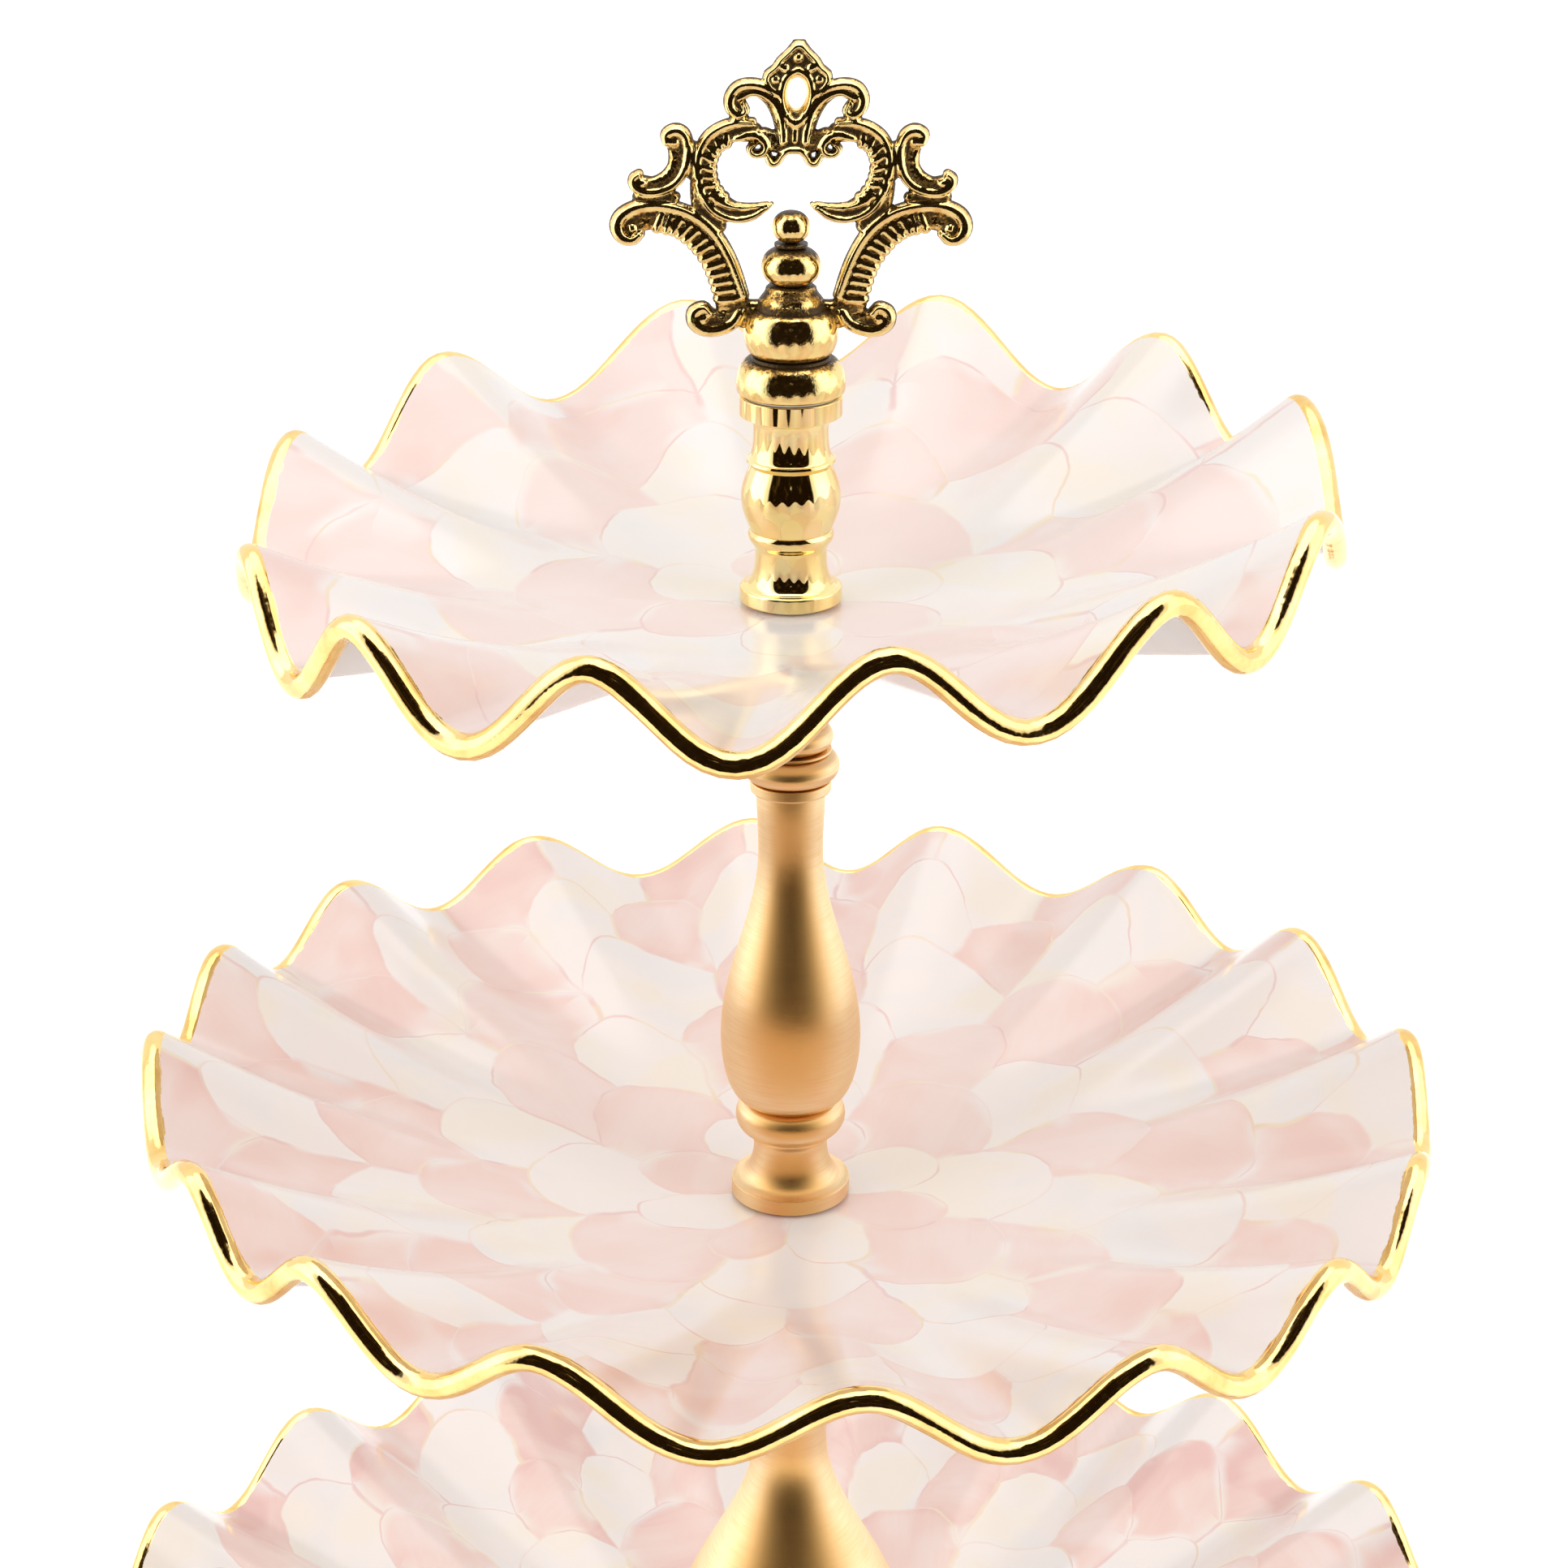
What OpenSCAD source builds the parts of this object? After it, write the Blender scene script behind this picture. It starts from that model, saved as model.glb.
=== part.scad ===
// Three-tier cake stand: ruffled enamelled plates with rolled metal rims, threaded on turned brass stems
// over a round foot, under a cast openwork finial that is also the carrying handle.
// Millimetres, +Z up, origin on the table under the middle of the foot.

/* [Tiers] */
// Height of the bottom plate's flat middle above the table
bottom_level = 34; // [30:1:45]
// Rise from the bottom plate to the middle plate
lower_gap = 189; // [182:1:230]
// Rise from the middle plate to the top plate
upper_gap = 160; // [154:1:200]

/* [Plates] */
// Radius of the bottom plate, to the middle of its rim
bottom_r = 200; // [185:1:220]
// Radius of the middle plate, to the middle of its rim
middle_r = 158; // [150:1:180]
// Radius of the top plate, to the middle of its rim
top_r = 128; // [120:1:145]
// Mean height of the bottom plate's edge above the plate's flat middle
bottom_rise = 28.5; // [24:0.5:36]
// Mean height of the middle plate's edge above the plate's flat middle
middle_rise = 33.5; // [24:0.5:38]
// Mean height of the top plate's edge above the plate's flat middle
top_rise = 26.5; // [18:0.5:32]
// Height of the bottom plate's ruffles, from mean to crest
bottom_wave = 9; // [4:0.5:12]
// Height of the middle plate's ruffles, from mean to crest
middle_wave = 8; // [4:0.5:11]
// Height of the top plate's ruffles, from mean to crest
top_wave = 10.5; // [5:0.5:13]
// How far the hand-formed bottom rim rises on one side and drops on the other
bottom_lean = 2.5; // [0:0.5:4]
// How far the middle rim rises on one side and drops on the other
middle_lean = 5.5; // [0:0.5:7]
// How far the top rim rises on one side and drops on the other
top_lean = 7.5; // [0:0.5:9]
// How far the middle rim is bent into a saddle, up on two sides and down on the others
middle_saddle = 3; // [0:0.5:4]
// How far the top rim is bent into a saddle
top_saddle = 2; // [0:0.5:4]
// Thickness of the enamelled steel
plate_t = 1.6; // [1.2:0.1:2.4]
// Radius of the flat seat in the middle of each plate
seat_r = 24; // [20:1:30]
// Diameter of the rolled metal rim
rim_d = 6; // [4.6:0.1:6.6]

/* [Fastening] */
// Diameter of the tie rods and studs
rod_d = 6; // [5:0.5:7]
// Radial clearance of a rod in its stem
rod_clearance = 0.1; // [0.05:0.05:0.3]
// Radius of the hole in each plate
plate_hole_r = 3.6; // [3.6:0.1:4.5]
// Radius of the washers above and below each plate
washer_r = 10.5; // [8:0.5:11]
// Thickness of those washers
washer_t = 0.8; // [0.5:0.1:1.2]
// Gap that lets a plate turn between its washers
plate_play = 0.15; // [0.1:0.05:0.25]
// How far the finial's stud reaches into the post
finial_thread = 9; // [6:0.5:12]

/* [Stems] */
// Radius of the top and bottom flanges of the upper stem
upper_flange_r = 15; // [13:0.2:17]
// Widest radius of the upper stem
upper_vase_r = 17.6; // [14:0.2:20]
// Radius of the lower stem's bottom flange
lower_flange_r = 22; // [18:0.5:24]
// Widest radius of the lower stem
lower_vase_r = 32; // [24:0.5:36]
// Radius of the slender neck of both stems
neck_r = 8.1; // [7:0.1:9]
// Height of the upper vase's widest point above its lower end
upper_belly_h = 17.5; // [15:0.5:21]
// Length of the upper vase's taper from its widest point to its neck
upper_taper_h = 51; // [40:1:54]
// Height of the lower vase's widest point above its lower end
lower_belly_h = 22; // [18:0.5:26]
// Length of the lower vase's taper from its widest point to its neck
lower_taper_h = 66; // [50:1:72]
// Thickness of the hollow vases' walls
vase_wall = 3; // [2:0.5:4]
// Height of the ring and flange piece under the upper vase
upper_base_h = 26.5; // [22:0.5:28]
// Height of the ring and flange piece under the lower vase
lower_base_h = 28; // [25:0.5:32]
// Height of the turned collar on top of each stem
collar_h = 46; // [43:0.5:48]

/* [Foot] */
// Radius of the foot
foot_r = 74; // [65:1:85]
// Thickness of the felt ring under the foot
felt_t = 1.5; // [1:0.1:2]

/* [Post and finial] */
// Radius of the post's bottom flange
post_flange_r = 12.3; // [11:0.1:14]
// Height of the polished post on the top plate
post_h = 49; // [44:1:54]
// Widest radius of the finial's bead column
bead_r = 12.9; // [11.5:0.1:14]
// Thickness of the cast scrollwork
scroll_t = 5.4; // [4:0.1:6.5]

/* [Hidden] */
$fn = 64;

brushed = "#c49a5a";
polished = "#d9ae5c";
antique = "#a8843f";
enamel = "#f6dedc";
clear = "#e8e8e4";
felt = "#6b5a48";

rod_r = rod_d / 2;
bore_r = rod_r + rod_clearance;
rim_r = rim_d / 2;
seam = washer_t + plate_play;          // from a plate's face to the metal that clamps it
middle_level = bottom_level + lower_gap;
top_level = middle_level + upper_gap;
rod_end_gap = 1;                       // between the two rod ends that meet inside a collar
rod_grip = 14;                         // thread in each end of a collar

// Directions of the ruffles' crests, uneven as the hand-formed rims are
bottom_crests = [for (k = [0:19]) 12 + 18 * k];
middle_crests = [5, 29, 50, 74, 94, 118, 141, 162, 183, 210, 228, 250, 276, 300, 321, 341];
top_crests = [15, 42, 72, 103, 135, 163, 198, 223, 251, 279, 308, 335];
// Each plate: rim radius, rise, ruffle height, crest directions, lean and the direction it rises towards,
// saddle and the direction of one of its high sides
bottom_spec = [bottom_r, bottom_rise, bottom_wave, bottom_crests, bottom_lean, 170, 0, 0];
middle_spec = [middle_r, middle_rise, middle_wave, middle_crests, middle_lean, 198, middle_saddle, 20];
top_spec = [top_r, top_rise, top_wave, top_crests, top_lean, 35, top_saddle, 104];
steps_per_ruffle = 8;
plate_edge = 2.3;                      // strip at the plate's edge that is shaped to lie in the rim

// ---- plate surface ----

// Places round a plate are counted in ruffles: whole numbers are crests, halves are troughs
function crest(spec, k) =
    let (count = len(spec[3]), turn = floor(k / count)) spec[3][k - turn * count] + 360 * turn;
function bearing(spec, u) = let (k = floor(u)) crest(spec, k) + (u - k) * (crest(spec, k + 1) - crest(spec, k));
// Share of the way from the flat seat to the rim
function way_out(spec, r) = max(0, (r - seat_r) / (spec[0] - seat_r));
// Share of the way along the part of the plate that is ruffled
function ruffled(spec, r) = max(0, (r / spec[0] - 0.38) / 0.62);
function lift(spec, r, u) =
    spec[1] * pow(way_out(spec, r), 1.7)
    + spec[2] * pow(ruffled(spec, r), 1.5) * cos(360 * u)
    + pow(way_out(spec, r), 1.4) * (spec[4] * cos(bearing(spec, u) - spec[5])
                                    + spec[6] * cos(2 * (bearing(spec, u) - spec[7])));
// A point in the middle of the plate's thickness, whose flat top lies at height 0
function mid_point(spec, r, u) =
    let (a = bearing(spec, u)) [r * cos(a), r * sin(a), lift(spec, r, u) - plate_t / 2];
function unit(v) = v / norm(v);
function along_rim(spec, r, u) = unit(mid_point(spec, r, u + 0.01) - mid_point(spec, r, u - 0.01));
function up_from(spec, r, u) =
    unit(cross(mid_point(spec, r + 0.05, u) - mid_point(spec, r - 0.05, u), along_rim(spec, r, u)));
function out_from(spec, r, u) = cross(along_rim(spec, r, u), up_from(spec, r, u));

// Closed skin over rings of points: loop_count points a ring, rings joined in turn and back to the first
module ring_skin(points, loop_count) {
    rings = len(points) / loop_count;
    polyhedron(points, [
        for (k = [0:rings - 1], j = [0:loop_count - 1], half = [0, 1])
            let (here = k * loop_count, next = ((k + 1) % rings) * loop_count, j2 = (j + 1) % loop_count)
            half == 0 ? [here + j, next + j, here + j2] : [here + j2, next + j, next + j2]
    ], convexity = 10);
}

// Ruffled plate with a true round hole; its flat top lies at height 0
module plate(spec) {
    count = len(spec[3]) * steps_per_ruffle;
    inner_r = plate_hole_r / 2;        // inside the hole, which the cylinder cuts to size
    radii = concat([inner_r, seat_r],
                   [for (share = [0.36, 0.54, 0.7, 0.86]) share * spec[0]],
                   [spec[0] - plate_edge, spec[0]]);
    n = len(radii);
    difference() {
        ring_skin([
            for (k = [0:2 * n - 1], j = [0:count - 1])
                let (side = k < n ? -1 : 1, r = radii[k < n ? k : 2 * n - 1 - k], u = j / steps_per_ruffle,
                     flat = r <= seat_r)
                mid_point(spec, r, u) + side * plate_t / 2 * (flat ? [0, 0, 1] : up_from(spec, r, u))
        ], count);
        translate([0, 0, -2 * plate_t]) cylinder(r = plate_hole_r, h = 3 * plate_t);
    }
}

// Rolled rim: a round bead under the plate's edge, flush with its face, with a rebate that the edge lies in
module rim(spec) {
    grip = 0.15;                       // clearance of the plate's edge in the rebate
    drop = rim_r - plate_t / 2;        // from the middle of the plate's thickness down to the bead's centre
    shelf = plate_t / 2 + grip;        // depth of the rebate's floor
    first = acos(grip / rim_r);
    sweep = 180 + asin((drop - shelf) / rim_r) + first;
    section = concat([for (k = [0:6]) rim_r * [cos(first - sweep * k / 6), sin(first - sweep * k / 6)] - [0, drop]],
                     [[grip, -shelf]]);
    ring_skin([
        for (j = [0:len(spec[3]) * steps_per_ruffle - 1], p = section)
            let (u = j / steps_per_ruffle)
            mid_point(spec, spec[0], u)
            + p[0] * out_from(spec, spec[0], u) + p[1] * up_from(spec, spec[0], u)
    ], len(section));
}

// ---- turned work ----

// Points of a smooth curve from a to b that leaves and arrives upright
function s_curve(a, b, steps = 6) = [
    for (i = [0:steps])
        let (t = i / steps)
        [a[0] + (b[0] - a[0]) * (1 - cos(180 * t)) / 2, a[1] + (b[1] - a[1]) * t]
];
// Points of a hollow quarter curve, from a to b, tight against the axis at b
function cove(a, b, steps = 6) = [
    for (i = [0:steps])
        let (t = 90 * i / steps)
        [a[0] + (b[0] - a[0]) * sin(t), a[1] + (b[1] - a[1]) * (1 - cos(t))]
];

// Solid of revolution from [radius, height] points, closed on the axis, with a bore through it
module turned(outline, bore = bore_r) {
    low = outline[0][1];
    high = outline[len(outline) - 1][1];
    difference() {
        rotate_extrude() polygon(concat([[0, low]], outline, [[0, high]]));
        if (bore > 0) translate([0, 0, low - 1]) cylinder(r = bore, h = high - low + 2);
    }
}

// Turned ring with a half-round edge, standing on height 0
module bead_ring(r, h, bore = bore_r) {
    difference() {
        rotate_extrude() {
            translate([r - h / 2, h / 2]) circle(d = h);
            square([r - h / 2, h]);
        }
        translate([0, 0, -1]) cylinder(r = bore, h = h + 2);
    }
}

// Ring and flange under a vase, standing on height 0
module stem_base(flange_r, waist_r, ring_r, h) {
    ring_h = h * 0.36;
    edge_h = h * 0.15;
    turned(concat([[flange_r, 0], [flange_r, edge_h]],
                  cove([flange_r - 0.2, edge_h], [waist_r, (h - ring_h) * 0.8]),
                  [[waist_r + 0.8, h - ring_h], [waist_r + 0.8, h - ring_h / 2]]));
    translate([0, 0, h - ring_h]) bead_ring(ring_r, ring_h);
}

// Hollow vase from its lower end over its belly, up the taper to the neck and the collar, standing on height 0
module stem_vase(low_r, belly_r, belly_h, taper_h, slim_r, top_r, h) {
    neck_h = belly_h + taper_h;
    belly = [for (i = [0:6])
                let (t = 90 * i / 6)
                [low_r + (belly_r - low_r) * sin(t), belly_h * (1 - cos(t))]];
    taper = [for (i = [1:10]) s_curve([belly_r, belly_h], [slim_r, neck_h], 10)[i]];
    neck = [for (i = [1:3]) s_curve([slim_r, neck_h], [top_r, h], 3)[i]];
    hollow = [for (p = concat(belly, taper)) if (p[1] > vase_wall && p[1] < neck_h) p - [vase_wall, 0]];
    difference() {
        turned(concat(belly, taper, neck));
        rotate_extrude() polygon(concat([[0, hollow[0][1]]], hollow, [[0, hollow[len(hollow) - 1][1]]]));
    }
}

// Collar with a big ring, a small ring, a bead, a hollow neck and a top flange, standing on height 0
module stem_collar(flange_r) {
    small_r = neck_r + 1.9;
    big_h = 7.2;
    big_z = 3;
    bead_z = big_z + big_h + 1;
    bead_h = 6;
    flange_h = 3;
    difference() {
        union() {
            cylinder(r = small_r, h = bead_z + 1);
            translate([0, 0, big_z]) bead_ring(small_r + 2, big_h);
            translate([0, 0, bead_z]) bead_ring(small_r + 0.4, bead_h);
            turned(concat([[neck_r, 0], [neck_r, bead_z + bead_h / 2]],
                          s_curve([small_r - 1, bead_z + bead_h - 0.2], [neck_r - 1.2, bead_z + bead_h + 5]),
                          [for (p = s_curve([neck_r - 1.2, collar_h - 12], [flange_r, collar_h - flange_h])) p],
                          [[flange_r, collar_h]]));
        }
        translate([0, 0, -1]) cylinder(r = bore_r, h = collar_h + 2);
    }
}

module washer(r, t, hole) {
    difference() {
        cylinder(r = r, h = t);
        translate([0, 0, -1]) cylinder(r = hole, h = t + 2);
    }
}

module rod(from, to) {
    translate([0, 0, from]) cylinder(r = rod_r, h = to - from);
}

// ---- foot ----

foot_top = bottom_level - plate_t - seam;
nut_pocket = 12;                       // height of the hollow under the foot that holds the nut
nut_h = 5;
rod_tail = 1.5;                        // rod showing below the nut

module foot() {
    edge_h = 4;
    flange_h = 3;
    color(brushed) difference() {
        rotate_extrude() polygon(concat(
            [[0, felt_t], [foot_r - 1, felt_t], [foot_r, felt_t + 1], [foot_r, felt_t + edge_h]],
            cove([foot_r - 4, felt_t + edge_h + 1], [lower_flange_r - 7, foot_top - flange_h - 4], 9),
            [[lower_flange_r - 5, foot_top - flange_h], [lower_flange_r, foot_top - flange_h],
             [lower_flange_r, foot_top], [0, foot_top]]));
        translate([0, 0, felt_t - 1]) cylinder(r = lower_flange_r - 9, h = nut_pocket + 1);
        cylinder(r = bore_r, h = bottom_level);
    }
}

module foot_felt() {
    color(felt) washer(foot_r - 4, felt_t, foot_r - 16);
}

module foot_washer() {
    color(clear) translate([0, 0, felt_t + nut_pocket - washer_t]) washer(9, washer_t, bore_r);
}

module foot_nut() {
    color(brushed) translate([0, 0, felt_t + nut_pocket - washer_t - nut_h]) difference() {
        cylinder(r = rod_d * 0.95, h = nut_h, $fn = 6);
        translate([0, 0, -1]) cylinder(r = bore_r, h = nut_h + 2);
    }
}

// ---- lower tier ----

lower_stem_z = bottom_level + seam;
lower_stem_top = middle_level - plate_t - seam;
lower_vase_h = lower_stem_top - collar_h - lower_base_h - lower_stem_z;
lower_rod_top = lower_stem_top - rod_grip - rod_end_gap;

module lower_tie_rod() {
    color(clear) rod(felt_t + nut_pocket - washer_t - nut_h - rod_tail, lower_rod_top);
}
module bottom_plate_lower_washer() {
    color(clear) translate([0, 0, foot_top]) washer(washer_r, washer_t, bore_r);
}
module bottom_plate() { color(enamel) translate([0, 0, bottom_level]) plate(bottom_spec); }
module bottom_rim() { color(polished) translate([0, 0, bottom_level]) rim(bottom_spec); }
module bottom_plate_upper_washer() {
    color(clear) translate([0, 0, bottom_level + plate_play]) washer(washer_r, washer_t, bore_r);
}
module lower_stem_base() {
    color(brushed) translate([0, 0, lower_stem_z])
        stem_base(lower_flange_r, neck_r + 5, lower_flange_r - 1.5, lower_base_h);
}
module lower_stem_vase() {
    color(brushed) translate([0, 0, lower_stem_z + lower_base_h])
        stem_vase(lower_flange_r - 5, lower_vase_r, lower_belly_h, lower_taper_h, neck_r + 1.4, neck_r + 1.6,
                  lower_vase_h);
}
module lower_stem_collar() {
    color(brushed) translate([0, 0, lower_stem_top - collar_h]) stem_collar(upper_flange_r - 1);
}

// ---- middle tier ----

upper_stem_z = middle_level + seam;
upper_stem_top = top_level - plate_t - seam;
upper_vase_h = upper_stem_top - collar_h - upper_base_h - upper_stem_z;
upper_rod_top = upper_stem_top - rod_grip - rod_end_gap;

module middle_plate_lower_washer() {
    color(clear) translate([0, 0, lower_stem_top]) washer(washer_r, washer_t, bore_r);
}
module middle_plate() { color(enamel) translate([0, 0, middle_level]) plate(middle_spec); }
module middle_rim() { color(polished) translate([0, 0, middle_level]) rim(middle_spec); }
module middle_plate_upper_washer() {
    color(clear) translate([0, 0, middle_level + plate_play]) washer(washer_r, washer_t, bore_r);
}
module upper_tie_rod() { color(clear) rod(lower_stem_top - rod_grip, upper_rod_top); }
module upper_stem_base() {
    color(brushed) translate([0, 0, upper_stem_z])
        stem_base(upper_flange_r, neck_r + 1.3, upper_flange_r - 1, upper_base_h);
}
module upper_stem_vase() {
    color(brushed) translate([0, 0, upper_stem_z + upper_base_h])
        stem_vase(upper_flange_r - 3.8, upper_vase_r, upper_belly_h, upper_taper_h, neck_r - 0.1, neck_r + 0.4,
                  upper_vase_h);
}
module upper_stem_collar() {
    color(brushed) translate([0, 0, upper_stem_top - collar_h]) stem_collar(upper_flange_r - 2);
}

// ---- top tier ----

post_z = top_level + seam;
post_top = post_z + post_h;
seam_washer_t = 0.6;
finial_z = post_top + seam_washer_t + plate_play;

module top_plate_lower_washer() {
    color(clear) translate([0, 0, upper_stem_top]) washer(washer_r, washer_t, bore_r);
}
module top_plate() { color(enamel) translate([0, 0, top_level]) plate(top_spec); }
module top_rim() { color(polished) translate([0, 0, top_level]) rim(top_spec); }
module top_plate_upper_washer() {
    color(clear) translate([0, 0, top_level + plate_play]) washer(washer_r, washer_t, bore_r);
}
module top_stud() { color(clear) rod(upper_stem_top - rod_grip, post_z + rod_grip); }

// Polished post: flange, waist, narrow ring, ball, sharp ring, waist and cap disc
module top_post() {
    r = post_flange_r;
    cap_h = 4;
    ball_low = post_h * 0.36;
    ball_high = post_h * 0.68;
    color(polished) translate([0, 0, post_z]) turned(concat(
        [[r, 0], [r, 3.2]],
        cove([r - 0.5, 4], [r * 0.71, post_h * 0.2], 5),
        s_curve([r * 0.71, post_h * 0.22], [r * 0.84, ball_low - 2.6], 4),
        [[r * 0.84, ball_low - 0.6]],
        [for (i = [0:8])
            let (t = i / 8)
            [r * (0.8 + 0.17 * sin(180 * t)), ball_low + (ball_high - ball_low) * t]],
        [[r * 0.87, ball_high + 1.4]],
        cove([r * 0.84, ball_high + 2.4], [r * 0.71, post_h * 0.82], 5),
        s_curve([r * 0.71, post_h * 0.84], [r * 0.8, post_h - cap_h], 3),
        [[r * 0.98, post_h - cap_h], [r * 0.98, post_h]]));
}

module finial_washer() {
    color(clear) translate([0, 0, post_top + plate_play / 2]) washer(post_flange_r - 1, seam_washer_t, bore_r);
}
module finial_stud() {
    color(clear) rod(post_top - finial_thread, finial_z + finial_thread);
}

// ---- cast finial ----

// Centre height, radius and half height of each bead of the column above the finial's foot
beads = [[4.5, 1, 5], [15.8, 0.86, 6.2], [31.2, 0.54, 4.9], [40.4, 0.34, 3.9]];

module bead_column() {
    rotate_extrude() intersection() {
        union() {
            for (b = beads) translate([0, b[0]]) {
                translate([bead_r * b[1] - b[2], 0]) circle(r = b[2]);
                translate([0, -b[2]]) square([bead_r * b[1] - b[2], 2 * b[2]]);
            }
            polygon(concat([[0, 0], [bead_r * 0.72, 0], [bead_r * 0.72, 20]],
                           s_curve([bead_r * 0.66, 20.5], [bead_r * 0.42, 27.5], 4),
                           [[bead_r * 0.28, 37], [0, 37]]));
        }
        square([bead_r, 60]);
    }
}

// A bar's round ends are this much wider than the bar, so their faces cross and never just touch
end_extra = 0.15;

// Flat bar bent round centre c at radius r from angle a0 to a1, with round ends
module bent_bar(c, r, w, a0, a1) {
    translate([c[0], 0, c[1]]) rotate([90, 0, 0]) {
        rotate([0, 0, a0]) rotate_extrude(angle = a1 - a0)
            translate([r - w / 2, -scroll_t / 2]) square([w, scroll_t]);
        for (a = [a0, a1]) rotate([0, 0, a]) translate([r, 0, -scroll_t / 2])
            cylinder(d = w + end_extra, h = scroll_t);
    }
}
module straight_bar(a, b, w) {
    run = b - a;
    translate([a[0], 0, a[1]]) rotate([90, -atan2(run[1], run[0]), 0]) translate([0, 0, -scroll_t / 2]) {
        translate([0, -w / 2, 0]) cube([norm(run), w, scroll_t]);
        for (x = [0, norm(run)]) translate([x, 0, 0]) cylinder(d = w + end_extra, h = scroll_t);
    }
}
module knob(c, r) { translate([c[0], 0, c[1]]) sphere(r = r); }

// One side of the scrollwork, towards +X, with heights above the finial's foot
module scroll_side() {
    // curl beside the column
    straight_bar([8, 17], [14.5, 17.5], 4.6);
    straight_bar([14, 17.5], [19, 18.8], 4.2);
    knob([20.2, 19.2], 3.9);
    // long ribbed arm and its end curl
    bent_bar([36, 21.5], 22, 5.4, 86, 180);
    straight_bar([14.2, 21.5], [10, 17.5], 4.6);
    bent_bar([37.5, 40.4], 2.6, 3.6, -110, 100);
    knob([36.2, 38.6], 2.3);
    // lobe round the finger opening, with its leaf tip and inner curl
    bent_bar([10.4, 53.1], 9.8, 5, -105, 105);
    straight_bar([8, 43.5], [5.4, 45.4], 2.6);
    knob([8.6, 59.2], 1.9);
    straight_bar([19.6, 41.4], [16.4, 45.6], 4);
    // outer scroll between two knobs
    bent_bar([31.2, 54.9], 7, 3.6, 150, 285);
    straight_bar([20.4, 55], [25.6, 56.6], 3.6);
    knob([33.8, 49.9], 2.9);
    knob([27, 60.7], 3.4);
    // fern scroll at the top
    bent_bar([9, 67.2], 5.8, 3.2, -5, 185);
    knob([12.8, 66.9], 2.3);
    straight_bar([3.1, 66.8], [1.6, 60.8], 3);
    straight_bar([9, 64.5], [4, 62], 3);
}

// Pierced leaf at the top of the scrollwork
module top_leaf() {
    leaf_t = scroll_t * 0.8;
    half = [[2.4, 82.3], [3.1, 80.9], [5, 79.7], [5.6, 78.2], [7.4, 76.8], [7.8, 74.8], [6.4, 72.2], [3.4, 67.5],
            [2.6, 61]];
    translate([0, leaf_t / 2, 0]) rotate([90, 0, 0]) linear_extrude(leaf_t) difference() {
        polygon(concat([[0, 83.8]], half, [for (i = [len(half) - 1:-1:0]) [-half[i][0], half[i][1]]]));
        translate([0, 72.2]) circle(r = 2.2);
        translate([0, 69.6]) circle(r = 1.8);
    }
}

module finial_crown() {
    color(antique) translate([0, 0, finial_z]) difference() {
        union() {
            bead_column();
            scroll_side();
            mirror([1, 0, 0]) scroll_side();
            top_leaf();
            bent_bar([0, 54.8], 3.8, 2.4, 25, 155);
            straight_bar([-6, 61.3], [6, 61.3], 4.4);
        }
        translate([0, 0, -1]) cylinder(r = bore_r, h = finial_thread + 2);
    }
}

foot();
foot_felt();
foot_washer();
foot_nut();
lower_tie_rod();
bottom_plate_lower_washer();
bottom_plate();
bottom_rim();
bottom_plate_upper_washer();
lower_stem_base();
lower_stem_vase();
lower_stem_collar();
middle_plate_lower_washer();
middle_plate();
middle_rim();
middle_plate_upper_washer();
upper_tie_rod();
upper_stem_base();
upper_stem_vase();
upper_stem_collar();
top_plate_lower_washer();
top_plate();
top_rim();
top_plate_upper_washer();
top_stud();
top_post();
finial_washer();
finial_stud();
finial_crown();
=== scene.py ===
import math
from collections import namedtuple

import bmesh
import bpy
import numpy as np
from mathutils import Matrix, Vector, noise


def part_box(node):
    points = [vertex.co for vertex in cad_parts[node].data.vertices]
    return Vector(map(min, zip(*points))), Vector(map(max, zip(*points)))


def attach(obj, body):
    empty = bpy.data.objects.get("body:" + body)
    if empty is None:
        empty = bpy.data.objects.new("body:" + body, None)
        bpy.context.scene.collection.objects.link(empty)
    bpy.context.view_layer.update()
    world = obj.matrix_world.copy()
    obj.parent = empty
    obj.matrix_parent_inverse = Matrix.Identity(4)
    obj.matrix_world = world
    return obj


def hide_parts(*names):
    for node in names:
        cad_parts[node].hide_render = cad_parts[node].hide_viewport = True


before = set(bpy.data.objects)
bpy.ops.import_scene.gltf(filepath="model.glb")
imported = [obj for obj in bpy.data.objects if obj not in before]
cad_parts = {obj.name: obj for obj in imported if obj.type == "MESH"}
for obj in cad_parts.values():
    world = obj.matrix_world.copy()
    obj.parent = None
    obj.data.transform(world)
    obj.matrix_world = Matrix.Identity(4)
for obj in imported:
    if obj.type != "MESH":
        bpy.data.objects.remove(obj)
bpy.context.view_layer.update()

# ---- sizes, in metres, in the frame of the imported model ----

MM = 0.001
SHEET_T = 1.6 * MM             # enamelled steel of the plates
SEAT_R = 24 * MM               # flat seat in the middle of each plate
HOLE_R = 3.6 * MM              # hole in each plate for its rod
SEAM = 0.95 * MM               # from a plate's face to the metal that clamps it
BORE_R = 3.1 * MM              # bore of the turned pieces
RUFFLES_FROM = 0.38            # share of a plate's radius where its ruffles start
BEAD_R = 3.0 * MM              # rolled rim's radius
LIP = 0.5 * MM                 # from the end of the painted face to the top of the rim
RIM_INSET = 0.3 * MM           # from the plate's radius in to the top of the rim
STEPS_PER_RUFFLE = 24
RINGS = 60                     # rings of faces from a plate's seat to its rim

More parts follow.
